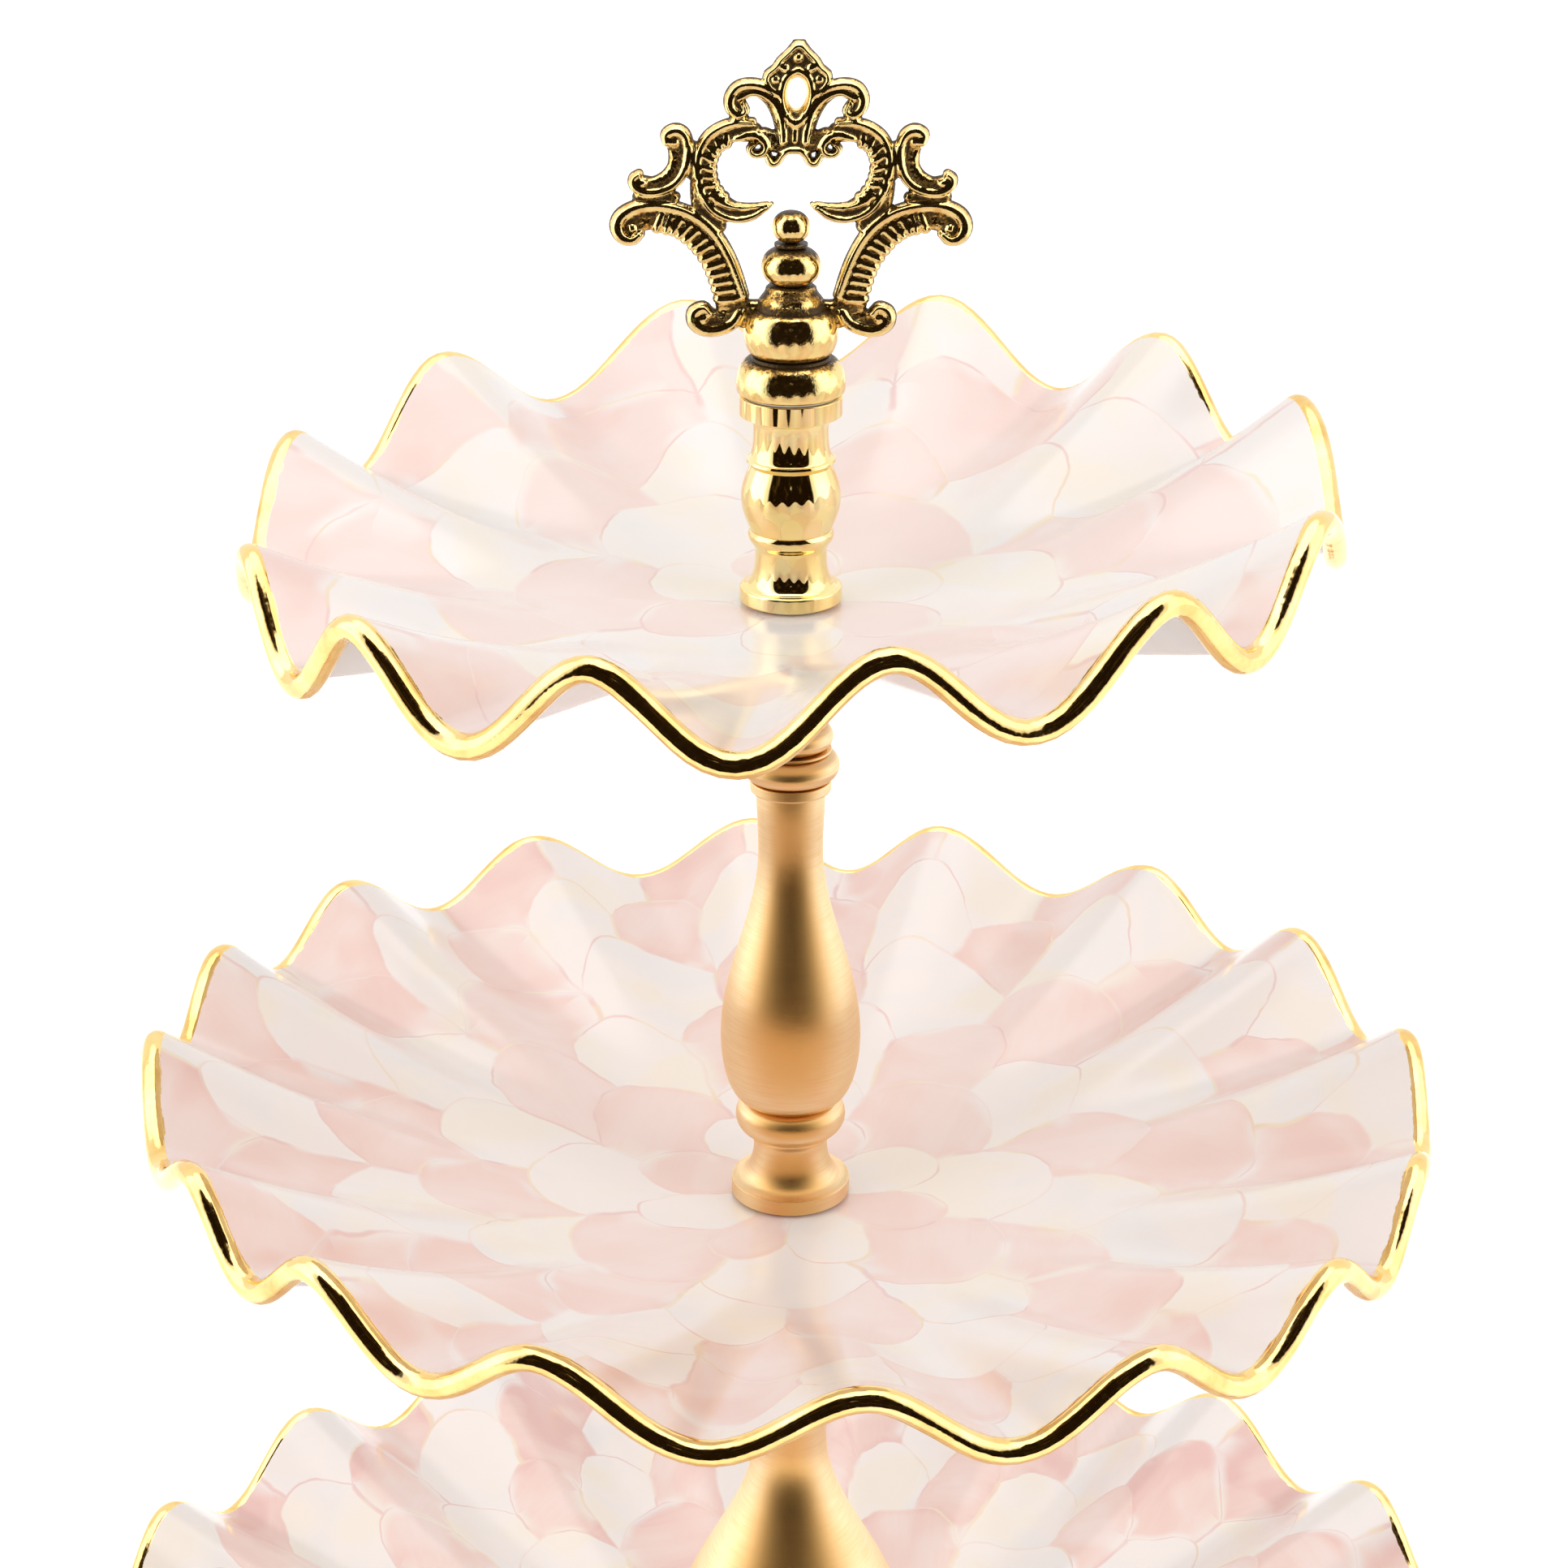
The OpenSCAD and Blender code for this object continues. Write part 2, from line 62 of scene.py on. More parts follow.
# One plate with its rim. Crests are the tops of its ruffles, in degrees round from +X. Its edge rises by rise
# and waves by wave, tilts by lean towards lean_dir and twists by saddle about saddle_dir. Rows are rows of
# petals, seed shifts their chances, and the last field says how strong their pink is; on the bottom plate it
# is set deeper, partly as painted shade from the tiers above.
Tier = namedtuple("Tier", ["name", "body", "level", "radius", "rise", "wave", "crests", "lean", "lean_dir",
                           "saddle", "saddle_dir", "rows", "seed", "blush"])


def level_under(node):
    """Height of a plate's flat top, from the piece that stands on it."""
    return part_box(node)[0].z - SEAM


TIERS = [
    # The bottom plate's pink is the deepest, partly as painted shade from the tiers above.
    Tier(name="bottom", body="bottom_tier", level=level_under("lower_stem_base"), radius=200 * MM,
         rise=27.7 * MM, wave=9 * MM, crests=[12 + 18 * k for k in range(20)],
         lean=2.5 * MM, lean_dir=170, saddle=0, saddle_dir=0, rows=7, seed=3.0, blush=1.3),
    Tier(name="middle", body="middle_tier", level=level_under("upper_stem_base"), radius=158 * MM,
         rise=32.7 * MM, wave=8 * MM,
         crests=[5, 29, 50, 74, 94, 118, 141, 162, 183, 210, 228, 250, 276, 300, 321, 341],
         lean=5.5 * MM, lean_dir=198, saddle=3 * MM, saddle_dir=20, rows=6, seed=11.0, blush=0.75),
    Tier(name="top", body="top_tier", level=level_under("top_post"), radius=128 * MM,
         rise=25.7 * MM, wave=10.5 * MM,
         crests=[15, 42, 72, 103, 135, 163, 198, 223, 251, 279, 308, 335],
         lean=7.5 * MM, lean_dir=35, saddle=2 * MM, saddle_dir=104, rows=5, seed=23.0, blush=0.42),
]


# ---- node trees written as arithmetic ----

class Socket:
    """A node's output that can be used in arithmetic; each operation adds a Math node."""

    def __init__(self, kit, output):
        self.kit, self.output = kit, output

    def math(self, operation, *values):
        return self.kit.node("Math", {"operation": operation}, enumerate(values))

    def __add__(self, other):
        return self.math("ADD", self, other)

    def __sub__(self, other):
        return self.math("SUBTRACT", self, other)

    def __rsub__(self, other):
        return self.math("SUBTRACT", other, self)

    def __mul__(self, other):
        return self.math("MULTIPLY", self, other)

    def __truediv__(self, other):
        return self.math("DIVIDE", self, other)

    __radd__, __rmul__ = __add__, __mul__

    def floor(self):
        return self.math("FLOOR", self)

    def absolute(self):
        return self.math("ABSOLUTE", self)

    def root(self):
        return self.math("SQRT", self)

    def above(self, other):
        return self.math("GREATER_THAN", self, other)

    def least(self, other):
        return self.math("MINIMUM", self, other)

    def most(self, other):
        return self.math("MAXIMUM", self, other)

    def odd(self):
        """1 for an odd number and 0 for an even one."""
        return self.math("PINGPONG", self, 1)

    def ramp(self, low, high):
        """0 below low, 1 above high and smooth between them; falls where low is above high."""
        return self.kit.node("MapRange", {"interpolation_type": "SMOOTHSTEP"},
                             {"Value": self, "From Min": low, "From Max": high})

    def other(self, name):
        """Another output of the same node."""
        return Socket(self.kit, self.output.node.outputs[name])


class Kit:
    """Adds nodes to one tree, of a material or of the world."""

    def __init__(self, tree):
        self.tree = tree
        tree.nodes.clear()

    def node(self, kind, settings=(), inputs=(), output=0):
        """A node of a kind, with its settings made first, then its inputs' values or links."""
        made = self.tree.nodes.new("ShaderNode" + kind)
        for name, value in dict(settings).items():
            setattr(made, name, value)
        for key, value in dict(inputs).items():
            if isinstance(value, Socket):
                self.tree.links.new(value.output, made.inputs[key])
            else:
                made.inputs[key].default_value = value
        return Socket(self, made.outputs[output])

    def place(self):
        """The point on the piece at rest, in millimetres."""
        place = self.node("TexCoord", output="Object")
        return self.scaled(place, (1 / MM,) * 3)

    def scaled(self, vector, by):
        return self.node("VectorMath", {"operation": "MULTIPLY"}, {0: vector, 1: by})

    def shifted(self, vector, by):
        return self.node("VectorMath", {"operation": "ADD"}, {0: vector, 1: by})

    def parts(self, vector):
        x = self.node("SeparateXYZ", inputs={0: vector})
        return x, x.other("Y"), x.other("Z")

    def joined(self, x, y, z):
        return self.node("CombineXYZ", inputs={0: x, 1: y, 2: z})

    def noise(self, vector, size, detail=3.0, roughness=0.5, output="Fac"):
        """Noise whose lumps are about size millimetres."""
        return self.node("TexNoise", inputs={"Vector": vector, "Scale": 1 / size, "Detail": detail,
                                             "Roughness": roughness}, output=output)

    def blend(self, a, b, share):
        """Colour a, turning to b as share goes from 0 to 1."""
        return self.node("Mix", {"data_type": "RGBA"}, {0: share, 6: a, 7: b}, output=2)

    def bump(self, height, distance, strength=1.0):
        return self.node("Bump", inputs={"Height": height, "Distance": distance, "Strength": strength})

    def surface(self, **inputs):
        """The finished surface; names are the shader's inputs, with _ for a space."""
        named = {name.replace("_", " "): value for name, value in inputs.items()}
        shader = self.node("BsdfPrincipled", inputs=named)
        self.node_out("OutputMaterial", shader)

    def node_out(self, kind, shader):
        """Ends the tree with a shader."""
        out = self.tree.nodes.new("ShaderNode" + kind)
        self.tree.links.new(shader.output, out.inputs["Surface"])


def colour(red, green, blue):
    """A linear colour from screen values of 0 to 255."""
    return tuple((v / 255) ** 2.2 for v in (red, green, blue)) + (1.0,)


def finish(name, build, *details):
    """A material called name, made by build(kit, *details)."""
    material = bpy.data.materials.new(name)
    material.use_nodes = True
    build(Kit(material.node_tree), *details)
    return material


# ---- finishes ----

GOLD = colour(250, 224, 152)
DEEP_GOLD = colour(222, 168, 84)
PALE_GOLD = colour(253, 236, 186)
RIM_TONE = colour(250, 214, 140)
# The first and third of these brushed-brass tones carry painted light: the pale one paints highlight where
# the surface turns from view, the deeper orange one paints shade where it faces the viewer. The middle one is
# the tone of its rings and stains.
BRASS_WITH_PAINTED_HIGHLIGHT = colour(253, 224, 178)
BRASS_SHADE = colour(238, 188, 118)
BRASS_WITH_PAINTED_SHADE = colour(238, 180, 104)
PATINA = colour(34, 22, 9)
WHITE_GLAZE = colour(251, 242, 237)
WARM_GLAZE = colour(252, 241, 226)
COOL_GLAZE = colour(243, 239, 238)
PALE_PINK = colour(250, 229, 222)
PINK = colour(248, 215, 205)
DEEP_PINK = colour(240, 196, 188)
LINE_PINK = colour(236, 188, 184)
LINE_CREAM = colour(249, 230, 196)

PETAL_SWELL = 0.55             # how far a petal's tip reaches over the next row, in rows
GOLD_BAND = 3.1                # mm of enamel beside the rim that the gold covers


def petal_spot(tier, row, turn):
    """Number of the petal at a turn of the plate in a row, and the place across it from -0.5 to 0.5."""
    share = 0.5 + 0.5 * row.above(1.5) + row.above(3.5)     # petals for each ruffle: half, one, then two
    across = turn * share * len(tier.crests) + 0.5 * row.odd()
    number = across.floor()
    return number, across - number - 0.5


def gold_mask(kit, tier, place, reach):
    """1 on the strip of gold that runs from the rim onto the enamel, with an uneven edge."""
    x, y, _ = kit.parts(place)
    radius = (x * x + y * y).root()
    uneven = kit.noise(place, 9.0, 4.0) * 3.0 + kit.noise(place, 2.2, 2.0) * 0.8
    edge = tier.radius / MM - reach + 1.9                   # uneven is 1.9 mm on average
    return (radius + 1.9 - uneven).ramp(edge - 0.12, edge + 0.12)


def glaze_bump(kit, place, brush):
    """Slow waves of the fired glaze and faint ridges left by the brush."""
    waves = kit.noise(place, 14.0, 1.0) + 0.05 * brush
    return kit.bump(waves, 0.35 * MM, 0.35)


def enamel_face(kit, tier):
    """Rows of overlapping petals, pink and white by turns, brushed on by hand under a clear glaze."""
    place = kit.place()
    drift = kit.noise(kit.shifted(place, (tier.seed * 40, 0, 0)), 34.0, 1.5, output="Color")
    drift = kit.scaled(kit.shifted(drift, (-0.5, -0.5, -0.5)), (13.0, 13.0, 0))
    quiver = kit.noise(place, 5.0, 1.0, output="Color")
    quiver = kit.scaled(kit.shifted(quiver, (-0.5, -0.5, -0.5)), (1.2, 1.2, 0))
    drawn = kit.node("VectorMath", {"operation": "ADD"}, {0: place, 1: drift})
    drawn = kit.node("VectorMath", {"operation": "ADD"}, {0: drawn, 1: quiver})
    x, y, _ = kit.parts(drawn)
    radius = (x * x + y * y).root()
    turn = y.math("ARCTAN2", y, x) / math.tau
    pitch = tier.radius / MM / tier.rows

    # the row that a point lies in, and whether a petal of the row inside it covers the point
    row = (radius / pitch).floor()
    along = radius / pitch - row
    inner_number, inner_across = petal_spot(tier, row - 1, turn)
    number, across = petal_spot(tier, row, turn)
    tip = PETAL_SWELL * (1 - 4 * inner_across * inner_across) - along
    covered = tip.above(0)
    number = number + covered * (inner_number - number)
    row = row - covered
    pink_share = (number + (row / 2).floor()).odd()

    # a number from 0 to 1 for each petal, and the distance in millimetres to the nearest petal's edge
    petal = kit.joined(number, row, tier.seed)
    chance = kit.node("TexWhiteNoise", {"noise_dimensions": "3D"}, {"Vector": petal}, output="Value")
    side = (0.5 - across.absolute()) * 20
    edge = (tip.absolute() * pitch).least(side + covered * 50)

    # brushwork, slanted anew on each petal, and colour that pools at the edges and deepens near the rim
    brushed = kit.node("VectorRotate", {"rotation_type": "Z_AXIS"},
                       {"Vector": place, "Angle": chance * math.pi})
    streaks = kit.noise(kit.scaled(brushed, (0.09, 1.0, 0.4)), 1.8, 2.0, 0.6)
    wash = kit.noise(kit.shifted(kit.scaled(brushed, (0.5, 1.0, 0.5)), (tier.seed * 9, 0, 0)), 18.0, 1.5)
    cloud = kit.noise(place, 24.0, 1.0)
    pooled = edge.ramp(4.0, 0.3)
    near_rim = (radius * (MM / tier.radius)).ramp(0.55, 0.95) * cloud.ramp(0.48, 0.64)
    # Each plate scales the depth of its pink; the bottom plate's larger scale is partly painted shade from
    # the tiers above.
    depth = (wash.ramp(0.36, 0.68) * 0.34 + streaks.ramp(0.35, 0.7) * 0.06 + pooled * 0.14 + chance * 0.18
             + near_rim * 0.5) * tier.blush
    pink = kit.blend(kit.blend(PALE_PINK, PINK, depth.ramp(0.0, 0.5)), DEEP_PINK, depth.ramp(0.42, 1.0))
    white = kit.blend(WHITE_GLAZE, COOL_GLAZE, wash.ramp(0.45, 0.75) * 0.7)
    white = kit.blend(white, WARM_GLAZE, cloud.ramp(0.52, 0.36) * 0.8)

    # pink petals fade in places towards an edge, and thin pink and cream lines follow some edges
    fading = kit.noise(kit.shifted(place, (0, 0, 90)), 26.0, 1.0).ramp(0.5, 0.62) * edge.ramp(4.5, 0)
    soft_edge = edge.ramp(0.7, 0) * 0.38
    face = kit.blend(white, pink, (pink_share * (1 - 0.9 * fading) * (1 - soft_edge)).most(soft_edge))
    line = edge.ramp(0.65, 0.1) * kit.noise(place, 20.0, 1.0).ramp(0.47, 0.6)
    face = kit.blend(face, LINE_PINK, line * 0.55)
    cream = edge.ramp(0.8, 0.2) * kit.noise(kit.shifted(place, (0, 50, 0)), 20.0, 1.0).ramp(0.54, 0.64)
    face = kit.blend(face, LINE_CREAM, cream * 0.6)

    gold = gold_mask(kit, tier, place, GOLD_BAND)
    kit.surface(Base_Color=kit.blend(face, RIM_TONE, gold), Metallic=gold,
                Roughness=0.2 + 0.05 * streaks - 0.1 * gold, Coat_Weight=0.3, Coat_Roughness=0.09,
                Normal=glaze_bump(kit, place, streaks))


def enamel_back(kit, tier):
    """Plain glaze of the underside: pale, a little cool, with a few thin places and specks."""
    place = kit.place()
    cloud = kit.noise(place, 40.0, 3.0)
    speck = kit.noise(place, 1.3, 1.0).ramp(0.73, 0.78) * 0.35
    shade = kit.blend(colour(241, 237, 235), colour(230, 226, 225), cloud.ramp(0.35, 0.7))
    shade = kit.blend(shade, colour(196, 178, 160), speck)
    gold = gold_mask(kit, tier, place, GOLD_BAND - 0.6)
    kit.surface(Base_Color=kit.blend(shade, RIM_TONE, gold), Metallic=gold, Roughness=0.14 + 0.1 * cloud,
                Coat_Weight=0.3, Coat_Roughness=0.05, Normal=glaze_bump(kit, place, cloud))


def rim_gold(kit):
    """Bright gold over the rolled rim, thinner and redder in places, with fine wear."""
    place = kit.place()
    thin = kit.noise(place, 11.0, 4.0, 0.6)
    wear = kit.noise(place, 1.1, 2.0)
    tone = kit.blend(RIM_TONE, DEEP_GOLD, thin.ramp(0.45, 0.75) * 0.6)
    tone = kit.blend(tone, PALE_GOLD, (1 - thin).ramp(0.5, 0.75) * 0.5)
    lumps = kit.noise(place, 4.5, 2.0)
    kit.surface(Base_Color=tone, Metallic=1.0, Roughness=0.05 + 0.06 * thin + 0.06 * wear.ramp(0.5, 0.7),
                Normal=kit.bump(lumps, 0.25 * MM, 0.5))


def polished_brass(kit):
    """Mirror-polished turned brass, with the faintest waves and polishing lines."""
    place = kit.place()
    waves = kit.noise(place, 9.0, 1.0)
    lines = kit.noise(kit.scaled(place, (0.05, 0.05, 1.0)), 0.35, 2.0)
    tone = kit.blend(GOLD, PALE_GOLD, waves.ramp(0.4, 0.7) * 0.6)
    kit.surface(Base_Color=tone, Metallic=1.0, Roughness=0.025 + 0.02 * waves + 0.02 * lines,
                Normal=kit.bump(waves + 0.02 * lines, 0.12 * MM, 0.5))


def brushed_brass(kit):
    """Satin brass, brushed round and round in the lathe."""
    place = kit.place()
    rings = kit.noise(kit.scaled(place, (0.03, 0.03, 1.0)), 0.28, 4.0, 0.65)
    bands = kit.noise(kit.scaled(place, (0.02, 0.02, 1.0)), 2.6, 2.0)
    stain = kit.noise(place, 22.0, 3.0)
    # Painted light: the brass is deeper and more orange where it faces the viewer, as painted shade, and
    # paler towards its outline, as painted highlight.
    slant = kit.node("LayerWeight", inputs={"Blend": 0.5}, output="Facing")
    tone = kit.blend(BRASS_WITH_PAINTED_SHADE, BRASS_WITH_PAINTED_HIGHLIGHT, slant.ramp(0.02, 0.45))
    tone = kit.blend(tone, BRASS_SHADE, rings.ramp(0.35, 0.7) * 0.4 + stain.ramp(0.5, 0.75) * 0.2)
    kit.surface(Base_Color=tone, Metallic=1.0, Roughness=0.31 + 0.08 * rings + 0.05 * bands,
                Anisotropic=0.85, Normal=kit.bump(rings + 0.3 * bands, 0.035 * MM, 0.6))


def cast_brass(kit):
    """Cast brass, bright on the worn high places and dark in the pitted hollows."""
    place = kit.place()
    hollow = kit.node("Attribute", {"attribute_name": "hollow"}, output="Fac")
    grain = kit.noise(place, 0.9, 3.0, 0.6)
    coarse = kit.noise(place, 3.2, 2.0)
    dark = (hollow + (grain - 0.5) * 1.0 + (coarse - 0.5) * 0.5).ramp(0.2, 0.52)
    tone = kit.blend(kit.blend(GOLD, DEEP_GOLD, (coarse + hollow).ramp(0.5, 0.95)), PATINA, dark * 0.93)
    pits = kit.noise(place, 0.55, 2.0)
    kit.surface(Base_Color=tone, Metallic=1 - 0.45 * dark, Roughness=0.06 + 0.32 * dark + 0.06 * coarse,
                Normal=kit.bump(pits * hollow.ramp(0.1, 0.5) + 0.22 * grain + 0.3 * coarse, 0.26 * MM, 0.8))


def zinc(kit):
    """Zinc-plated steel, faintly mottled."""
    place = kit.place()
    mottle = kit.noise(place, 1.8, 3.0)
    kit.surface(Base_Color=kit.blend(colour(176, 178, 176), colour(206, 204, 196), mottle), Metallic=1.0,
                Roughness=0.28 + 0.16 * mottle, Normal=kit.bump(mottle, 0.03 * MM, 0.4))


def nylon(kit):
    """Natural nylon, milky and slightly uneven."""
    place = kit.place()
    cloud = kit.noise(place, 2.5, 2.0)
    kit.surface(Base_Color=kit.blend(colour(236, 234, 226), colour(222, 220, 212), cloud),
                Roughness=0.38 + 0.12 * cloud, Normal=kit.bump(cloud, 0.04 * MM, 0.4))


def pressed_felt(kit):
    """Brown pressed felt with short tangled hairs."""
    place = kit.place()
    hairs = kit.noise(place, 0.45, 4.0, 0.75)
    tufts = kit.noise(place, 3.0, 2.0)
    tone = kit.blend(colour(96, 78, 62), colour(138, 118, 98), (hairs * 0.7 + tufts * 0.3).ramp(0.35, 0.65))
    kit.surface(Base_Color=tone, Roughness=0.95, Sheen_Weight=0.3, Normal=kit.bump(hairs, 0.35 * MM, 0.9))


RIM_GOLD = finish("rim_gold", rim_gold)
POLISHED = finish("polished_brass", polished_brass)
BRUSHED = finish("brushed_brass", brushed_brass)
CAST = finish("cast_brass", cast_brass)
ZINC = finish("zinc_plate", zinc)
NYLON = finish("nylon", nylon)
FELT = finish("pressed_felt", pressed_felt)


# ---- mesh work ----

def add_piece(name, points, faces, materials, face_material=None, sharp=40):
    """A smooth-shaded piece from its points, faces and materials."""
    mesh = bpy.data.meshes.new(name)
    mesh.from_pydata([tuple(p) for p in points], [], [tuple(int(i) for i in f) for f in faces])
    mesh.validate()
    for material in materials:
        mesh.materials.append(material)
    if face_material is not None:
        mesh.polygons.foreach_set("material_index", np.asarray(face_material, dtype=np.int32))
    mesh.polygons.foreach_set("use_smooth", np.ones(len(mesh.polygons), dtype=bool))
    tidy = bmesh.new()
    tidy.from_mesh(mesh)
    bmesh.ops.recalc_face_normals(tidy, faces=tidy.faces)
    tidy.to_mesh(mesh)
    tidy.free()
    mesh.set_sharp_from_angle(angle=math.radians(sharp))
    piece = bpy.data.objects.new(name, mesh)
    bpy.context.scene.collection.objects.link(piece)
    return piece


def grid_faces(rows, columns, closed_rows=False):
    """Quads over rows of points, each row closed into a ring; closed_rows joins the last row to the first."""
    row = np.arange(rows if closed_rows else rows - 1)
    here = (row[:, None] * columns + np.arange(columns)[None, :]).ravel()
    across = (row[:, None] * columns + (np.arange(columns)[None, :] + 1) % columns).ravel()
    step = (((row + 1) % rows - row) * columns).repeat(columns)
    return np.stack([here, across, across + step, here + step], axis=1)


def fit(piece, body, slot, *nodes):
    """Puts a finished piece in the place of its CAD nodes."""
    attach(piece, body)
    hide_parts(*nodes)
    return piece


def rounded_edges(piece, width):
    """Breaks a turned piece's sharp edges."""
    bevel = piece.modifiers.new("broken_edges", "BEVEL")
    bevel.width, bevel.segments = width, 3
    bevel.limit_method, bevel.angle_limit = "ANGLE", math.radians(40)
    return piece


# ---- ruffled plates and their rims ----

def unit(vectors):
    return vectors / np.linalg.norm(vectors, axis=-1, keepdims=True)


def bearing(tier, place):
    """Direction in radians of a place round the plate, which is counted in ruffles from crest to crest."""
    count = len(tier.crests)
    turns, rest = np.divmod(place, count)
    crests = np.append(tier.crests, tier.crests[0] + 360)
    return np.radians(np.interp(rest, np.arange(count + 1), crests) + 360 * turns)


def middle_of_sheet(tier, r, place):
    """Point in the middle of the sheet's thickness."""
    a = bearing(tier, place)
    way_out = np.clip((r - SEAT_R) / (tier.radius - SEAT_R), 0, None)
    ruffled = np.clip((r / tier.radius - RUFFLES_FROM) / (1 - RUFFLES_FROM), 0, None)
    lift = (tier.rise * way_out ** 1.7 + tier.wave * ruffled ** 1.5 * np.cos(math.tau * place)
            + way_out ** 1.4 * (tier.lean * np.cos(a - math.radians(tier.lean_dir))
                                + tier.saddle * np.cos(2 * (a - math.radians(tier.saddle_dir)))))
    return np.stack([r * np.cos(a), r * np.sin(a), tier.level + lift - SHEET_T / 2], axis=-1)


def sheet_axes(tier, r, place):
    """Unit vectors along the ruffles, up from the sheet and outwards in it."""
    along = unit(middle_of_sheet(tier, r, place + 0.01) - middle_of_sheet(tier, r, place - 0.01))
    outwards = middle_of_sheet(tier, r + 0.05 * MM, place) - middle_of_sheet(tier, r - 0.05 * MM, place)
    up = unit(np.cross(outwards, along))
    return along, up, np.cross(along, up)


def plate(tier):
    """The enamelled sheet: painted face, plain back and the edges that join them."""
    count = len(tier.crests) * STEPS_PER_RUFFLE
    radii = np.concatenate([[HOLE_R, HOLE_R + 3 * MM, SEAT_R * 0.7],
                            np.linspace(SEAT_R, tier.radius - RIM_INSET - LIP, RINGS)])
    r, place = np.meshgrid(radii, np.arange(count) / STEPS_PER_RUFFLE, indexing="ij")
    middle = middle_of_sheet(tier, r, place)
    _, up, _ = sheet_axes(tier, r, place)
    up[r <= SEAT_R] = (0, 0, 1)
    face = (middle + up * SHEET_T / 2).reshape(-1, 3)
    back = (middle - up * SHEET_T / 2)[::-1].reshape(-1, 3)
    rows = 2 * len(radii)
    faces = grid_faces(rows, count, closed_rows=True)
    kinds = (np.arange(rows) >= len(radii) - 1).astype(int).repeat(count)
    kinds[-count:] = 1
    piece = add_piece(f"{tier.name}_enamelled_plate", np.concatenate([face, back]), faces,
                      [finish(f"{tier.name}_painted_enamel", enamel_face, tier),
                       finish(f"{tier.name}_plain_enamel", enamel_back, tier)], kinds, sharp=60)
    return fit(piece, tier.body, "enamelled_steel", f"{tier.name}_plate")


def rolled_rim(tier):
    """Bead of metal under the plate's edge, flush with the painted face and a little uneven in thickness."""
    sides = 26
    count = len(tier.crests) * STEPS_PER_RUFFLE
    place = np.arange(count) / STEPS_PER_RUFFLE
    top = np.full(count, tier.radius - RIM_INSET)
    centre = middle_of_sheet(tier, top, place)
    _, up, outwards = sheet_axes(tier, top, place)
    uneven = np.array([noise.noise(Vector(p) / (14 * MM) + Vector((tier.seed, 0, 0))) for p in centre])
    radius = BEAD_R * (1 - 0.05 * np.clip(uneven + 0.3, 0, 1))
    around = np.arange(sides) * math.tau / sides
    ring = (np.cos(around)[None, :, None] * outwards[:, None] + np.sin(around)[None, :, None] * up[:, None])
    drop = np.sqrt(radius ** 2 - LIP ** 2) - SHEET_T / 2
    points = centre[:, None] - up[:, None] * drop[:, None, None] + ring * radius[:, None, None]
    piece = add_piece(f"{tier.name}_rolled_rim", points.reshape(-1, 3),
                      grid_faces(count, sides, closed_rows=True), [RIM_GOLD])
    return fit(piece, tier.body, "polished_gold", f"{tier.name}_rim")


for tier in TIERS:
    plate(tier)
    rolled_rim(tier)


# ---- turned pieces ----

def s_curve(a, b, steps=20):
    """Points from a to b that leave and arrive upright."""
    return [(a[0] + (b[0] - a[0]) * (1 - math.cos(math.pi * i / steps)) / 2,
             a[1] + (b[1] - a[1]) * i / steps) for i in range(steps + 1)]


def cove(a, b, steps=14):
    """A hollow quarter curve from a up to b, tight against the axis at b."""
    return [(a[0] + (b[0] - a[0]) * math.sin(math.pi / 2 * i / steps),
             a[1] + (b[1] - a[1]) * (1 - math.cos(math.pi / 2 * i / steps))) for i in range(steps + 1)]


def bead(r, low, high, steps=14):
    """Half-round moulding of outer radius r between two heights."""
    half = (high - low) / 2
    turns = [math.pi * i / steps for i in range(steps + 1)]
    return [(r - half + half * math.sin(t), low + half * (1 - math.cos(t))) for t in turns]


def turned(name, body, slot, material, outline, nodes, bore=BORE_R, edge=0.35 * MM, sides=128, raised=0.0):
    """Piece turned in a lathe from (radius, height) points in millimetres above its lowest node's foot."""
    foot = min(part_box(n)[0].z for n in nodes) + raised * MM
    outline = [(bore / MM, outline[0][1])] + list(outline) + [(bore / MM, outline[-1][1])]
    a = np.arange(sides) * math.tau / sides
    points = [(r * MM * math.cos(t), r * MM * math.sin(t), foot + z * MM) for r, z in outline for t in a]
    piece = add_piece(name, points, grid_faces(len(outline), sides, closed_rows=True), [material], sharp=32)
    rounded_edges(piece, edge)
    return fit(piece, body, slot, *nodes)


def height_of(node):
    low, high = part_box(node)
    return (high.z - low.z) / MM


def radius_of(node):
    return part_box(node)[1].x / MM


def ring_and_flange(node, waist):
    """Flange, hollow waist and half-round ring under a vase."""
    tall, flange = height_of(node), radius_of(node)
    ring, edge = tall * 0.36, tall * 0.15
    ring_r = flange - (1.1 if node.startswith("upper") else 1.5)
    outline = ([(flange, 0), (flange, edge)]
               + cove((flange - 0.2, edge), (waist, (tall - ring) * 0.8), 22)
               + s_curve((waist, (tall - ring) * 0.86), (waist + 0.8, tall - ring), 4)
               + bead(ring_r, tall - ring, tall))
    turned(f"{node}_turning", "column", "brushed_brass", BRUSHED, outline, [node])


def vase(node, low_r, belly_h, taper_h, neck, top):
    """Vase from its lower end over its belly and up the taper to the neck."""
    tall, belly_r = height_of(node), radius_of(node)
    steps = 16
    belly = [(low_r + (belly_r - low_r) * math.sin(math.pi / 2 * i / steps),
              belly_h * (1 - math.cos(math.pi / 2 * i / steps))) for i in range(steps + 1)]
    outline = (belly + s_curve((belly_r, belly_h), (neck, belly_h + taper_h), 30)[1:]
               + s_curve((neck, belly_h + taper_h), (top, tall), 8)[1:])
    turned(f"{node}_turning", "column", "brushed_brass", BRUSHED, outline, [node])


